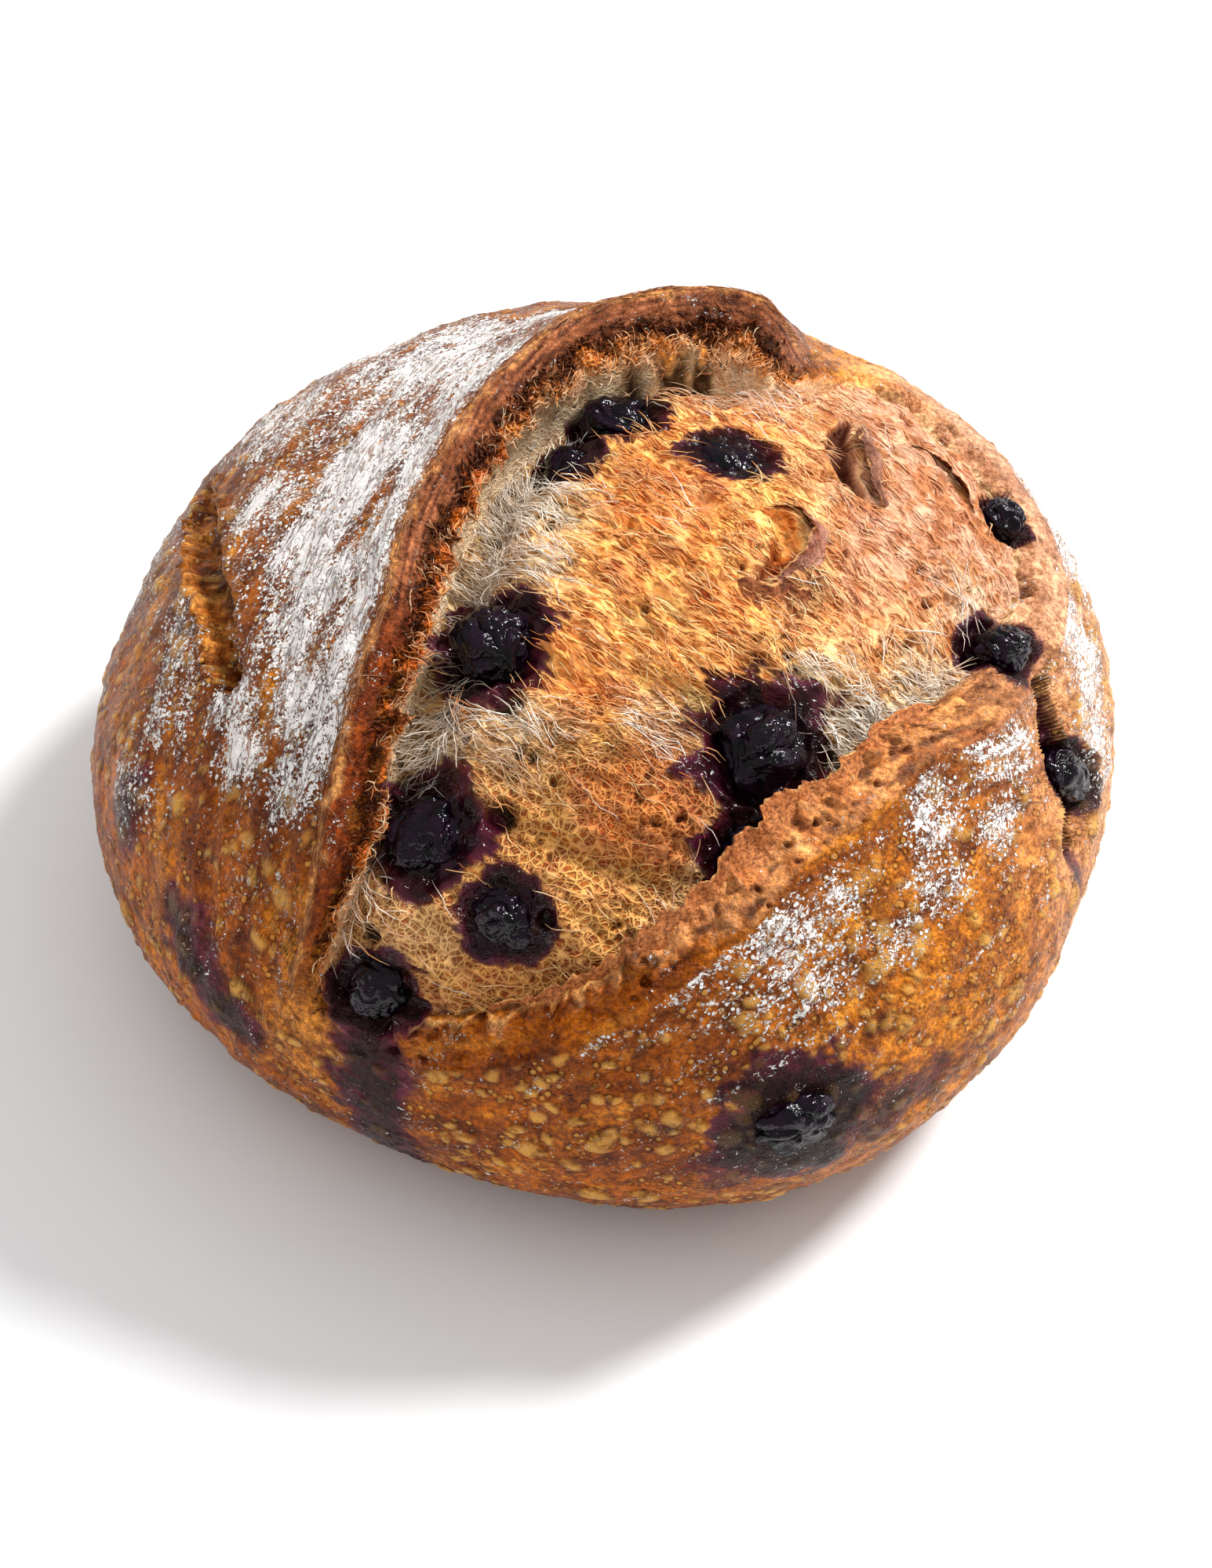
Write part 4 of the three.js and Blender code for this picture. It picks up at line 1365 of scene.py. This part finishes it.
def makeCrumb():
    relief = crumbRelief
    direction = crumbGrid()
    base, normal = bodyPoint(direction), bodyNormal(direction)
    x, y = base[..., 0], base[..., 1]
    turn, reach = webPlace(direction)
    across = (reach - keyed(scoreEdge, turn)) * slantAt(turn)
    ear = np.clip(keyed(earShare, turn), 0, 1)
    depth = keyed(creviceDepth, turn) * (1 - 0.45 * step(92, 80, turn) * step(58, 64, turn))
    dipEar, dipLip = (np.interp(across, *zip(*crumb[kind])) for kind in ("dipEar", "dipLip"))
    dip = ear * dipEar + (1 - ear) * dipLip
    rise = reliefAt(base) - dip * depth
    rise += socketsAt(base)
    dip = dip * np.clip(depth / 6, 0, 1)
    combed = combedPlace(base)
    smooth = step(28, 48, x) * step(-35, -5, y)
    laced = step(-36, -52, y)[..., None]  # low down the dough is a net, not combed
    clump = layered(combed * [0.45, 0.28, 0.28], 1, 3, 56)
    fibres = 1 - 2 * np.abs(noise(combed, 1, 51))
    rentAways = [spread(base, rent["line"], crumb["rentRagged"]) for rent in rents]
    tone, wet, pale, stain, toast = crumbColours(base, across, dip, clump, rentAways)
    dry = 1 - 0.85 * wet
    torn = relief["clumps"] * clump + relief["fibres"] * fibres + relief["fuzz"] * noise(combed * 2.1, 1, 52)
    rise += dry * (1 - 0.4 * smooth) * torn
    mounds = relief["mounds"] * np.abs(layered(base, 9, 3, 53))
    rise += dry * (mounds + relief["swells"] * noise(base, 22, 60))
    # bubbles torn open, rents and caves
    gaping = step(0.0, 0.4, noise(base, 11, 54) + 0.5 * pale) * dry
    hollow = cavitiesAt(base, 4.2, 55) * gaping
    small = cavitiesAt(base, 2.1, 57) * gaping
    rise -= (relief["hollows"] + dip) * hollow + relief["smallHollows"] * small
    for rent, away in zip(rents, rentAways):
        rise -= rent["depth"] * step(1.1, 0.3, away)
    caveShade, drop = cavesAt(base)
    rise -= drop
    # painted shade inside the torn-open bubbles and the caves
    tone = painted(tone, [
        (mix(palette["hollowShadeGolden"], palette["hollowShadePale"], pale), 0.85 * hollow + 0.45 * small),
        # painted shade inside the caves
        (palette["crumbCaveShade"], 0.97 * caveShade * dry),
    ])
    stain = np.maximum(stain, np.maximum(0.9 * caveShade, 0.7 * hollow))  # openings stay bare of strands too
    for away in rentAways:
        stain = np.maximum(stain, step(1.15, 0.7, away))
    folds = 1 - 2 * np.abs(noise(base, 4.5, 58))
    rise += wet * (relief["wetFolds"] * folds + relief["wetGrit"] * noise(base, 1.6, 59))
    fields = {
        "tone": opaque(tone),
        "wet": wet,
        "stain": stain,
        "smooth": np.maximum(smooth, toast * (1 - pale)),
        "grain": (combed + (base - combed) * laced) * millimetre,
    }
    fields.update(furFields(base, normal, direction, dip, stain, pale, across, ear, rentAways))
    fields["furGold"] *= 1 - 0.6 * toast
    return closeCrumb(base + normal * rise[..., None], normal, fields)


rents = [  # openings torn in the crumb: points along with a half width, depth, colour inside
    {"line": ((45.5, 33, 95.5, 0.8), (43, 26, 98, 2.4), (42.4, 20, 99.3, 2.8), (44, 13, 99.4, 1.8),
              (49, 8, 98, 0.5)),
     "depth": 3.8, "dark": linear(84, 34, 20)},
    {"line": ((26, 2, 105, 0.8), (31, 0, 104, 2.4), (32.6, -5, 103.5, 2.8), (30.6, -10, 103.7, 2.2),
              (27, -14, 103.5, 0.8)),
     "depth": 2.6, "dark": linear(246, 182, 108)},
    {"line": ((58, 33, 88, 0.5), (62, 28, 88, 1.2), (67, 22, 87, 1.0), (71, 15, 86, 0.4)),
     "depth": 1.2, "dark": linear(150, 120, 112)},
]
toastPatches = [  # place, radius, strength
    ((10, 4, 106), 14, 0.85), ((30, 28, 101), 12, 0.8), ((49, 0, 99), 12, 0.55), ((6, -59, 95), 12, 1.0),
    ((-6, -36, 102), 9, 0.75), ((39, -18, 100), 12, 0.5), ((57, 45, 87), 18, 0.6), ((-19, -80, 76), 10, 0.5),
    ((20, 50, 97), 12, 0.4), ((5, -8, 105), 10, 0.5), ((24, -20, 103), 10, 0.5), ((70, 30, 85), 16, 0.5),
]
palePatches = [
    ((-14, 2, 106), 10, 0.9), ((-14, -11, 105), 8, 0.8), ((-18, -46, 98), 10, 0.8), ((-31, -47, 95), 8, 0.9),
    ((39, -34, 98), 10, 0.7), ((58, -29, 91), 10, 0.8), ((46, -42, 93), 9, 0.8), ((11, -45, 100), 8, 0.7),
    ((26, 40, 97), 15, 0.4), ((-39, -68, 79), 9, 0.6), ((-31, -73, 79), 8, 0.5), ((20, -65, 91), 7, 0.5),
    ((68, -5, 89), 8, 0.4),
]
lobePatches = [((6, -59, 95), 14, 1.1), ((8, -50, 98), 9, 0.9)]  # the toasted lobe in front
brownPatches = [((34, -15, 101), 7, 1.2), ((28, -16, 102), 5, 1.0)]  # skin beside the torn flake


def crumbColours(base, across, dip, clump, rentAways):
    x, y = base[..., 0], base[..., 1]
    patchy = layered(base, 9, 3, 61)
    low = step(-38, -56, y + 3 * patchy)
    toast = np.clip(1.1 * blobs(base, toastPatches) + 0.35 * patchy, 0, 1)
    pale = np.clip(blobs(base, palePatches) + 0.85 * step(0.25, 0.9, dip) + 0.2 * patchy, 0, 1)
    pale = pale * (1 - 0.5 * low)
    lobe = step(0.3, 0.8, blobs(base, lobePatches) + 0.3 * patchy)
    tone = painted(np.broadcast_to(palette["golden"], base.shape), [
        (palette["straw"], 0.6 * step(0.1, 0.7, -clump) + 0.35 * step(0.1, 0.6, -patchy)),
        (palette["orange"], np.clip(toast + 0.5 * step(0, 0.6, clump), 0, 1)),
        (palette["toast"], 0.75 * step(0.1, 0.7, clump) * np.clip(toast + 0.2, 0, 1)),
        # pinkish on the right: partly painted light
        (palette["litRose"], 0.95 * step(28, 48, x) * step(-35, 0, y)),
        (palette["lace"], 0.85 * low),
        (palette["cream"], 0.9 * pale),
        (palette["lobe"], 0.85 * lobe),
    ])
    for rent, away in zip(rents, rentAways):
        tone = painted(tone, [
            (rent["dark"], 0.95 * step(1.1, 0.6, away)),
            (palette["rentRim"], 0.7 * bell(away, 1.3, 0.2)),
        ])
    tone = painted(tone, [
        (palette["brownSkin"], 0.9 * step(0.3, 0.9, blobs(base, brownPatches) + 0.3 * patchy)),
        (palette["creviceShade"], 0.45 * step(0.5, 1, dip) * step(-16, -6, across)),
        # painted shade in the gaps of the pale crumb
        (palette["paleGapShade"], 0.7 * step(0.05, 0.5, layered(base, 3.2, 3, 63)) * pale),
    ])
    tone, wet, stain = stained(base, tone, 0)
    return tone, wet, pale, stain, np.maximum(0.5 * toast, 0.55 * lobe)


def furFields(base, normal, direction, dip, stain, pale, across, ear, rentAways):
    # where torn strands grow and which way they lie: slantwise, and up the slopes in the crevice
    outward = direction - webDirection(0.0, 0.0)
    spoke = unit(outward - (outward * normal).sum(-1, keepdims=True) * normal, 1e-6)
    diagonal = np.array([0.79, -0.61, 0])
    share = step(0.1, 0.8, dip)[..., None]
    dry = 1 - step(0.35, 0.95, stain)
    for away in rentAways:
        dry = dry * step(0.8, 1.6, away)
    smooth = step(38, 60, base[..., 0]) * step(-30, -10, base[..., 1])
    low = step(-48, -62, base[..., 1])
    clumped = step(-0.5, 0.5, layered(base, 7, 2, 75))
    golden = np.clip(1 - pale, 0.1, 1) * dry * (0.4 + 0.6 * clumped)
    return {
        "comb": unit(diagonal * (1 - share) + spoke * share + 0.35 * noiseVector(base, 9, 71)),
        "bridge": ear * bell(across, -12, 4) * (0.3 + 0.7 * dry),
        "furPale": np.clip(pale, 0, 1) ** 1.5 * dry * (1 - 0.5 * low),
        "furGold": golden * (1 - 0.9 * smooth) * (1 - 0.8 * low),
    }


def closeCrumb(points, normal, fields):
    # closed by a rim that goes down inside the crust and a point below the middle
    count = points.shape[0] ** 2
    index = np.arange(count).reshape(points.shape[:2])
    faces = gridFaces(index)
    rim = gridRim(index)
    flatPoints, flatNormal = points.reshape(-1, 3), normal.reshape(-1, 3)
    hub = flatPoints[rim].mean(0) - [0, 0, 4]
    lower = flatPoints[rim] - crumb["thickness"] * flatNormal[rim]
    lower = lower + (hub - lower) * 0.03
    lowerIndex = np.arange(len(rim)) + count
    nextRim, nextLower = np.roll(rim, -1), np.roll(lowerIndex, -1)
    faces.append(np.stack([rim, lowerIndex, nextLower], -1))
    faces.append(np.stack([rim, nextLower, nextRim], -1))
    faces.append(fan(count + len(rim), nextLower, lowerIndex))
    allPoints = np.concatenate([flatPoints, lower, [hub]])
    fields = withExtra(fields, count, len(rim) + 1)
    return makePiece("crumb", allPoints, np.concatenate(faces), finishes["crumb"], fields)


crumbPiece = makeCrumb()


print("flakes")
# torn skin: plan of the free edge, plan vector to the root, lift, tone at the root and at the edge
flakes = {
    # the pinkish root tones of the flakes on the right are partly painted light
    "flake_curl": (((28.5, 2), (33.5, 1), (36.2, -2.6), (34.8, -8), (32, -12), (28, -15.4)), (7, 1), 3.6,
                   palette["litRose"], linear(128, 60, 26)),
    "flake_torn": (((20.5, -14.8), (24, -16), (28, -16.5), (33, -15.5), (38, -15)), (-1, -7), 2.6,
                   linear(206, 132, 80), linear(122, 62, 34)),
    "flap": (((48, 32), (46, 26), (45.4, 20), (46.8, 13.5), (51, 8.5)), (8, 1), 4.4,
             linear(196, 142, 118), linear(112, 66, 48)),
    "flake_ridge": (((56, 31), (61, 28), (66, 23), (70, 16)), (4, 3), 2,
                    palette["litRose"], linear(160, 112, 92)),
}
lipRim = {
    "first": 252,  # turns between which it stands
    "last": 352,
    "inward": 3.6,  # mm from the edge of the score
    "outward": 5,
    "lift": 2.3,
    "ragged": 3.4,
    "points": 420,
    "tones": (linear(214, 144, 92), linear(186, 112, 62)),
}
flakeGrid = {"along": 120, "across": 14, "thickness": 0.5, "sunk": 1.3, "ragged": 2.0, "smoothing": 15}


def topDirection(x, y):
    # the direction whose point on the upper half lies over that spot
    bearing = np.arctan2(y, x)
    out = (np.hypot(x, y) / (form["radius"] * corners(bearing))) ** (1 / form["upperFullness"])
    return np.stack([out * np.cos(bearing), out * np.sin(bearing), np.sqrt(1 - out ** 2)], -1)


def smoothed(line, count):
    # the line resampled evenly and rounded
    line = np.array(line, float)
    lengths = np.concatenate([[0], np.cumsum(np.linalg.norm(np.diff(line, axis=0), axis=1))])
    at = np.linspace(0, lengths[-1], count)
    line = np.stack([np.interp(at, lengths, line[:, k]) for k in (0, 1)], -1)
    window = flakeGrid["smoothing"]
    padded = np.pad(line, ((window // 2, window // 2), (0, 0)), "edge")
    return np.stack([np.convolve(padded[:, k], np.ones(window) / window, "valid") for k in (0, 1)], -1)


def flakeTone(base, v, tones):
    # browner towards the free edge, with a pale broken rim; the underside is brown all over as painted shade
    # under the sheet
    browned = np.clip(v ** 1.5 + 0.6 * noise(base, 2.5, 99) * v, 0, 1)
    tone = painted(np.broadcast_to(tones[0], base.shape), [
        (tones[1], browned),
        (palette["skinEdge"], (v > 0.97) * step(-0.2, 0.3, noise(base, 2, 100))),
    ]).reshape(-1, 3)
    # the underside: painted shade
    return opaque(np.concatenate([tone, np.broadcast_to(palette["skinUnderShade"], tone.shape)]))


def makeFlake(name, edge, back, lift, lowered, ragged, tones):
    # a thin torn sheet, rooted in the surface and lifted at its ragged free edge
    share = np.linspace(0, 1, len(edge))
    wave = np.concatenate([edge, np.zeros((len(edge), 1))], 1)
    stray = ragged * (0.5 * noise(wave, 5, 94) + 0.35 * noise(wave, 2.2, 95) + 0.2 * noise(wave, 1, 96))
    v = np.linspace(0, 1, flakeGrid["across"])[None, :]
    fade = np.sin(math.pi * share) ** 0.5
    reach = (1 - v) * (0.5 + 0.5 * fade)[:, None]
    reach = reach - (stray * fade)[:, None] * v ** 2 / np.linalg.norm(back, axis=-1)[..., None]
    plan = edge[:, None] + reach[..., None] * back[:, None]
    direction = topDirection(plan[..., 0], plan[..., 1])
    base, normal = bodyPoint(direction), bodyNormal(direction)
    height = -flakeGrid["sunk"] + (lift + flakeGrid["sunk"]) * fade[:, None] * v ** 1.2
    height = height + (0.5 * noise(base, 3, 97) + 0.4 * np.abs(noise(base, 1.4, 98))) * v
    height = height + reliefAt(base) + lowered[:, None]
    top = base + normal * height[..., None]
    bottom = top - normal * (flakeGrid["thickness"] * (1 - 0.6 * v))[..., None]
    count = top.shape[0] * top.shape[1]
    index = np.arange(count).reshape(top.shape[:2])
    upper = np.concatenate(gridFaces(index))
    rim = gridRim(index)
    nextRim = np.roll(rim, -1)
    side = np.concatenate([np.stack([rim, rim + count, nextRim + count], -1),
                           np.stack([rim, nextRim + count, nextRim], -1)])
    faces = np.concatenate([upper, upper[:, ::-1] + count, side])
    middle = len(edge) // 2
    cross = np.cross(top[middle + 1, 0] - top[middle, 0], top[middle, 1] - top[middle, 0])
    if cross @ normal[middle, 0] < 0:
        faces = faces[:, ::-1]
    points = np.concatenate([top.reshape(-1, 3), bottom.reshape(-1, 3)])
    return makePiece(name, points, faces, finishes["skin"], {"tone": flakeTone(base, v, tones)})


def makeLipRim():
    turn = np.linspace(lipRim["first"], lipRim["last"], lipRim["points"])
    edge, slant = keyed(scoreEdge, turn), slantAt(turn)
    inner = bodyPoint(directionAt(turn, (edge - lipRim["inward"] / slant)[:, None]))[:, 0]
    outer = bodyPoint(directionAt(turn, (edge + lipRim["outward"] / slant)[:, None]))[:, 0]
    lowered = 0.75 * keyed(edgeHeight, turn) - 0.3
    return makeFlake("lip_rim", inner[:, :2], (outer - inner)[:, :2], lipRim["lift"], lowered,
                     lipRim["ragged"], lipRim["tones"])


flakePieces = [makeLipRim()]
for name, (line, back, lift, rootTone, edgeTone) in flakes.items():
    edge = smoothed(line, flakeGrid["along"])
    backs = np.broadcast_to(np.array(back, float), edge.shape)
    flakePieces.append(makeFlake(name, edge, backs, lift, np.zeros(len(edge)), flakeGrid["ragged"],
                                 (rootTone, edgeTone)))


print("berries")
berryShape = {
    "levels": 6,  # of the ball's subdivision
    "bigLevels": 7,  # for berries whose half width is above:
    "bigFrom": 7.9,
    "wrinkle": 0.24,
    "slump": 0.1,
    "apart": 3.1,  # moves each berry on in the noise, so that no two look alike
}


def makeBerry(name, order):
    shape = berryShape
    half = berries[name]["half"]
    level = shape["bigLevels"] if half[0] > shape["bigFrom"] else shape["levels"]
    ball = bmesh.new()
    bmesh.ops.create_icosphere(ball, subdivisions=level, radius=1)
    around = np.array([vertex.co for vertex in ball.verts])
    faces = np.array([[vertex.index for vertex in face.verts] for face in ball.faces])
    ball.free()
    shifted = around + order * shape["apart"]
    folded = shifted + 0.35 * noiseVector(shifted, 0.9, 81)
    fold = np.abs(noise(folded, 0.8, 84)) ** 0.7 + 0.35 * np.abs(noise(folded, 0.38, 85))
    size = 1 + shape["slump"] * noise(shifted, 1.1, 86) + shape["wrinkle"] * (fold - 0.75)
    axes, middle = seats[name]
    points = insideBox((around * size[:, None] * np.array(half)) @ axes + middle)
    label = name.replace("berry", "wrinkled")
    return makePiece(label, points, faces, finishes["berry"], {"fold": np.clip(fold - 0.3, 0, 1)})


berryPieces = {name: makeBerry(name, order) for order, name in enumerate(berries)}


print("torn strands")
strandShape = {
    "points": 8,  # along a strand
    "sides": 3,
    "tip": 0.25,  # thickness of its ends, as a share of the middle's
    "shadeSeed": 3,
}


def strandTree():
    # strands scattered on a surface by a density field, laid along its comb field
    tree = bpy.data.node_groups.new("torn strands", "GeometryNodeTree")
    sockets = tree.interface
    sockets.new_socket("Geometry", in_out="INPUT", socket_type="NodeSocketGeometry")
    sockets.new_socket("Geometry", in_out="OUTPUT", socket_type="NodeSocketGeometry")
    kinds = {
        "Field": "NodeSocketString", "Density": "NodeSocketFloat", "Shortest": "NodeSocketFloat",
        "Longest": "NodeSocketFloat", "Thickness": "NodeSocketFloat", "Arch": "NodeSocketFloat",
        "Spread": "NodeSocketVector", "Wiggle": "NodeSocketFloat", "Curl": "NodeSocketFloat",
        "Seed": "NodeSocketInt", "Finish": "NodeSocketMaterial",
    }
    for name, kind in kinds.items():
        sockets.new_socket(name, in_out="INPUT", socket_type=kind)
    given = addNode(tree, "NodeGroupInput").outputs
    amount = addNode(tree, "GeometryNodeInputNamedAttribute", {"Name": given["Field"]}, data_type="FLOAT")
    density = times(tree, amount.outputs[0], given["Density"])
    scatter = addNode(tree, "GeometryNodeDistributePointsOnFaces",
                      {"Mesh": given["Geometry"], "Density": density, "Seed": given["Seed"]})
    comb = addNode(tree, "GeometryNodeInputNamedAttribute", {"Name": "comb"}, data_type="FLOAT_VECTOR")
    upright = addNode(tree, "FunctionNodeAlignRotationToVector",
                      {"Vector": scatter.outputs["Normal"]}, axis="Z")
    laid = addNode(tree, "FunctionNodeAlignRotationToVector",
                   {"Rotation": upright.outputs[0], "Vector": comb.outputs[0]}, axis="X", pivot_axis="Z")
    swing = addNode(tree, "FunctionNodeRandomValue",
                    {0: scaled(tree, given["Spread"], -1.0), 1: given["Spread"], "Seed": given["Seed"]},
                    data_type="FLOAT_VECTOR")
    swing = addNode(tree, "FunctionNodeEulerToRotation", {0: swing.outputs[0]})
    turned = addNode(tree, "FunctionNodeRotateRotation",
                     {0: laid.outputs[0], 1: swing.outputs[0]}, rotation_space="LOCAL")
    # one strand, a metre long, thin at both ends and arched
    line = addNode(tree, "GeometryNodeCurvePrimitiveLine", {"Start": (-0.5, 0, 0), "End": (0.5, 0, 0)})
    line = addNode(tree, "GeometryNodeResampleCurve",
                   {"Curve": line.outputs[0], "Count": strandShape["points"]})
    spot = addNode(tree, "GeometryNodeInputPosition").outputs[0]
    share = addNode(tree, "ShaderNodeSeparateXYZ", {0: spot}).outputs[0]
    middle = minus(tree, 1, times(tree, times(tree, share, share), 4))
    bow = addNode(tree, "ShaderNodeCombineXYZ", {2: times(tree, middle, given["Arch"])})
    line = addNode(tree, "GeometryNodeSetPosition", {"Geometry": line.outputs[0], "Offset": bow.outputs[0]})
    tip = strandShape["tip"]
    taper = times(tree, plus(tree, times(tree, middle, 1 - tip), tip), given["Thickness"])
    ring = addNode(tree, "GeometryNodeCurvePrimitiveCircle",
                   {"Resolution": strandShape["sides"], "Radius": 1.0})
    strand = addNode(tree, "GeometryNodeCurveToMesh",
                     {"Curve": line.outputs[0], "Profile Curve": ring.outputs[0], "Scale": taper,
                      "Fill Caps": True})
    length = addNode(tree, "FunctionNodeRandomValue",
                     {2: given["Shortest"], 3: given["Longest"], "Seed": given["Seed"]}, data_type="FLOAT")
    size = addNode(tree, "ShaderNodeCombineXYZ", {0: length.outputs[1], 1: 1.0, 2: 1.0})
    grown = addNode(tree, "GeometryNodeInstanceOnPoints",
                    {"Points": scatter.outputs[0], "Instance": strand.outputs[0],
                     "Rotation": turned.outputs[0], "Scale": size.outputs[0]})
    chance = addNode(tree, "FunctionNodeRandomValue",
                     {2: 0.0, 3: 1.0, "Seed": strandShape["shadeSeed"]}, data_type="FLOAT")
    grown = addNode(tree, "GeometryNodeStoreNamedAttribute",
                    {"Geometry": grown.outputs[0], "Name": "shade", "Value": chance.outputs[1]},
                    data_type="FLOAT", domain="INSTANCE")
    grown = addNode(tree, "GeometryNodeRealizeInstances", {"Geometry": grown.outputs[0]})
    # every strand bent by the same waving field
    curl = calc(tree, "DIVIDE", 1, given["Curl"])
    wave = addNode(tree, "ShaderNodeTexNoise", {"Vector": spot, "Scale": curl, "Detail": 1.0})
    wave = addNode(tree, "ShaderNodeVectorMath",
                   {0: wave.outputs["Color"], 1: (0.5, 0.5, 0.5)}, operation="SUBTRACT")
    wave = scaled(tree, wave.outputs[0], given["Wiggle"])
    grown = addNode(tree, "GeometryNodeSetPosition", {"Geometry": grown.outputs[0], "Offset": wave})
    grown = addNode(tree, "GeometryNodeSetShadeSmooth", {"Geometry": grown.outputs[0]})
    grown = addNode(tree, "GeometryNodeSetMaterial",
                    {"Geometry": grown.outputs[0], "Material": given["Finish"]})
    addNode(tree, "NodeGroupOutput", {0: grown.outputs[0]})
    return tree


def grow(name, host, tree, settings):
    # the tree run on a host's mesh, kept as a plain mesh of its own
    holder = placed("grower", host.data)
    modifier = holder.modifiers.new("grow", "NODES")
    modifier.node_group = tree
    for socket in tree.interface.items_tree:
        if socket.in_out == "INPUT" and socket.name in settings:
            modifier[socket.identifier] = settings[socket.name]
    ready = bpy.context.evaluated_depsgraph_get()
    mesh = bpy.data.meshes.new_from_object(holder.evaluated_get(ready), depsgraph=ready)
    holder.modifiers.clear()
    bpy.data.objects.remove(holder)
    mesh.name = name
    print("grew", name, sum(len(face.vertices) - 2 for face in mesh.polygons), "triangles")
    return placed(name, mesh)


strandKinds = {  # host, then the tree's inputs in metres and radians
    "strands_pale": (crumbPiece, {
        "Field": "furPale", "Density": 0.6e6, "Shortest": 0.005, "Longest": 0.015, "Thickness": 0.00012,
        "Arch": 0.0005, "Spread": (0.6, 0.1, 0.55), "Wiggle": 0.0036, "Curl": 0.005, "Seed": 1,
        "Finish": finishes["pale"]}),
    "strands_bridging": (crumbPiece, {
        "Field": "bridge", "Density": 4.0e5, "Shortest": 0.006, "Longest": 0.013, "Thickness": 0.00008,
        "Arch": 0.0018, "Spread": (0.6, 0.4, 0.35), "Wiggle": 0.002, "Curl": 0.004, "Seed": 8,
        "Finish": finishes["pale"]}),
    "strands_golden": (crumbPiece, {
        "Field": "furGold", "Density": 0.26e6, "Shortest": 0.005, "Longest": 0.013, "Thickness": 0.00015,
        "Arch": 0.0003, "Spread": (0.5, 0.03, 0.3), "Wiggle": 0.004, "Curl": 0.006, "Seed": 2,
        "Finish": finishes["golden"]}),
    "strands_crossed": (crumbPiece, {
        "Field": "furGold", "Density": 0.12e6, "Shortest": 0.003, "Longest": 0.007, "Thickness": 0.00014,
        "Arch": 0.0003, "Spread": (0.8, 0.06, 1.1), "Wiggle": 0.004, "Curl": 0.004, "Seed": 3,
        "Finish": finishes["golden"]}),
    "ear_fringe": (crustEar, {
        "Field": "fringe", "Density": 1.7e6, "Shortest": 0.002, "Longest": 0.006, "Thickness": 0.00014,
        "Arch": 0.0004, "Spread": (1.2, 0.5, 1.0), "Wiggle": 0.003, "Curl": 0.003, "Seed": 4,
        "Finish": finishes["fringe"]}),
    "ear_spikes": (crustEar, {
        "Field": "spikes", "Density": 2.6e6, "Shortest": 0.001, "Longest": 0.0025, "Thickness": 0.0003,
        "Arch": 0.0003, "Spread": (1.5, 1.0, 1.5), "Wiggle": 0.001, "Curl": 0.002, "Seed": 6,
        "Finish": finishes["spikes"]}),
    "ear_strands": (crustEar, {
        "Field": "ridge", "Density": 1.4e6, "Shortest": 0.002, "Longest": 0.007, "Thickness": 0.0001,
        "Arch": 0.0001, "Spread": (0.3, 0.05, 0.15), "Wiggle": 0.0005, "Curl": 0.004, "Seed": 5,
        "Finish": finishes["ridge"]}),
}
strandPieces = {}
tornStrands = strandTree()
for name, (host, settings) in strandKinds.items():
    strandPieces[name] = grow(name, host, tornStrands, settings)


print("camera and light")
view = {
    "elevation": 52,  # degrees
    "distance": 734.4,
    "aim": (1.5, 0.3, 45),
    "lens": 85,
    "sensor": 36,
    "height": 1999,  # of the picture, the longer side, in pixels
    "shift": (6.44, 82.07),  # of the picture, in pixels
    "farthest": 20,  # in metres
}


def makeCamera():
    camera = bpy.data.cameras.new("camera")
    camera.lens = view["lens"]
    camera.sensor_width = view["sensor"]
    camera.shift_x = -view["shift"][0] / view["height"]
    camera.shift_y = -view["shift"][1] / view["height"]
    camera.clip_end = view["farthest"]
    rig = placed("camera", camera)
    raised = math.radians(view["elevation"])
    away = np.array([0, -math.cos(raised), math.sin(raised)]) * view["distance"]
    rig.location = (np.array(view["aim"]) + away) * millimetre
    rig.rotation_euler = (math.pi / 2 - raised, 0, 0)
    bpy.context.scene.camera = rig


studio = {
    "world": 0.38,
    "lights": [  # name, where it comes from, how wide it looks in degrees, strength
        ("window", (0.75, 0.5, 0.9), 13, 3.7),
        ("ceiling", (-0.1, 0.1, 1.0), 100, 1.1),
    ],
    "hazeFrom": 90,  # lights wider than this many degrees leave no haze on dark skin
    "floorSize": 6,  # metres
    "floorTones": ((0.93, 0.93, 0.93), (0.96, 0.96, 0.96)),
}


def makeStudio():
    world = bpy.data.worlds.new("soft room")
    bpy.context.scene.world = world
    world.use_nodes = True
    world.node_tree.nodes["Background"].inputs["Color"].default_value = (1, 1, 1, 1)
    world.node_tree.nodes["Background"].inputs["Strength"].default_value = studio["world"]
    for name, source, width, strength in studio["lights"]:
        lamp = bpy.data.lights.new(name, "SUN")
        lamp.angle = math.radians(width)
        lamp.energy = strength
        rig = placed(name, lamp)
        rig.location = source
        rig.rotation_euler = Vector(source).to_track_quat("Z", "Y").to_euler()
        rig.visible_glossy = width < studio["hazeFrom"]
    half = studio["floorSize"] / 2
    mesh = bpy.data.meshes.new("floor")
    ends = [(-half, -half, 0), (half, -half, 0), (half, half, 0), (-half, half, 0)]
    mesh.from_pydata(ends, [], [(0, 1, 2, 3)])
    material, tree = newFinish("pale floor")
    colour = blendColour(tree, grain(tree, place(tree), 300, 2), *studio["floorTones"])
    surface(tree, colour, 0.8, None, Specular_IOR_Level=0.1)
    mesh.materials.append(material)
    floor = placed("floor", mesh)


makeCamera()
makeStudio()
bpy.context.scene.view_settings.view_transform = "Standard"

print("frame")
for piece in (crustEar, crustLip, crumbPiece, *flakePieces, *strandPieces.values()):
    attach(piece, "root")
    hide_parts("loaf")
for name, piece in berryPieces.items():
    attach(piece, "root")
    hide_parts(name)
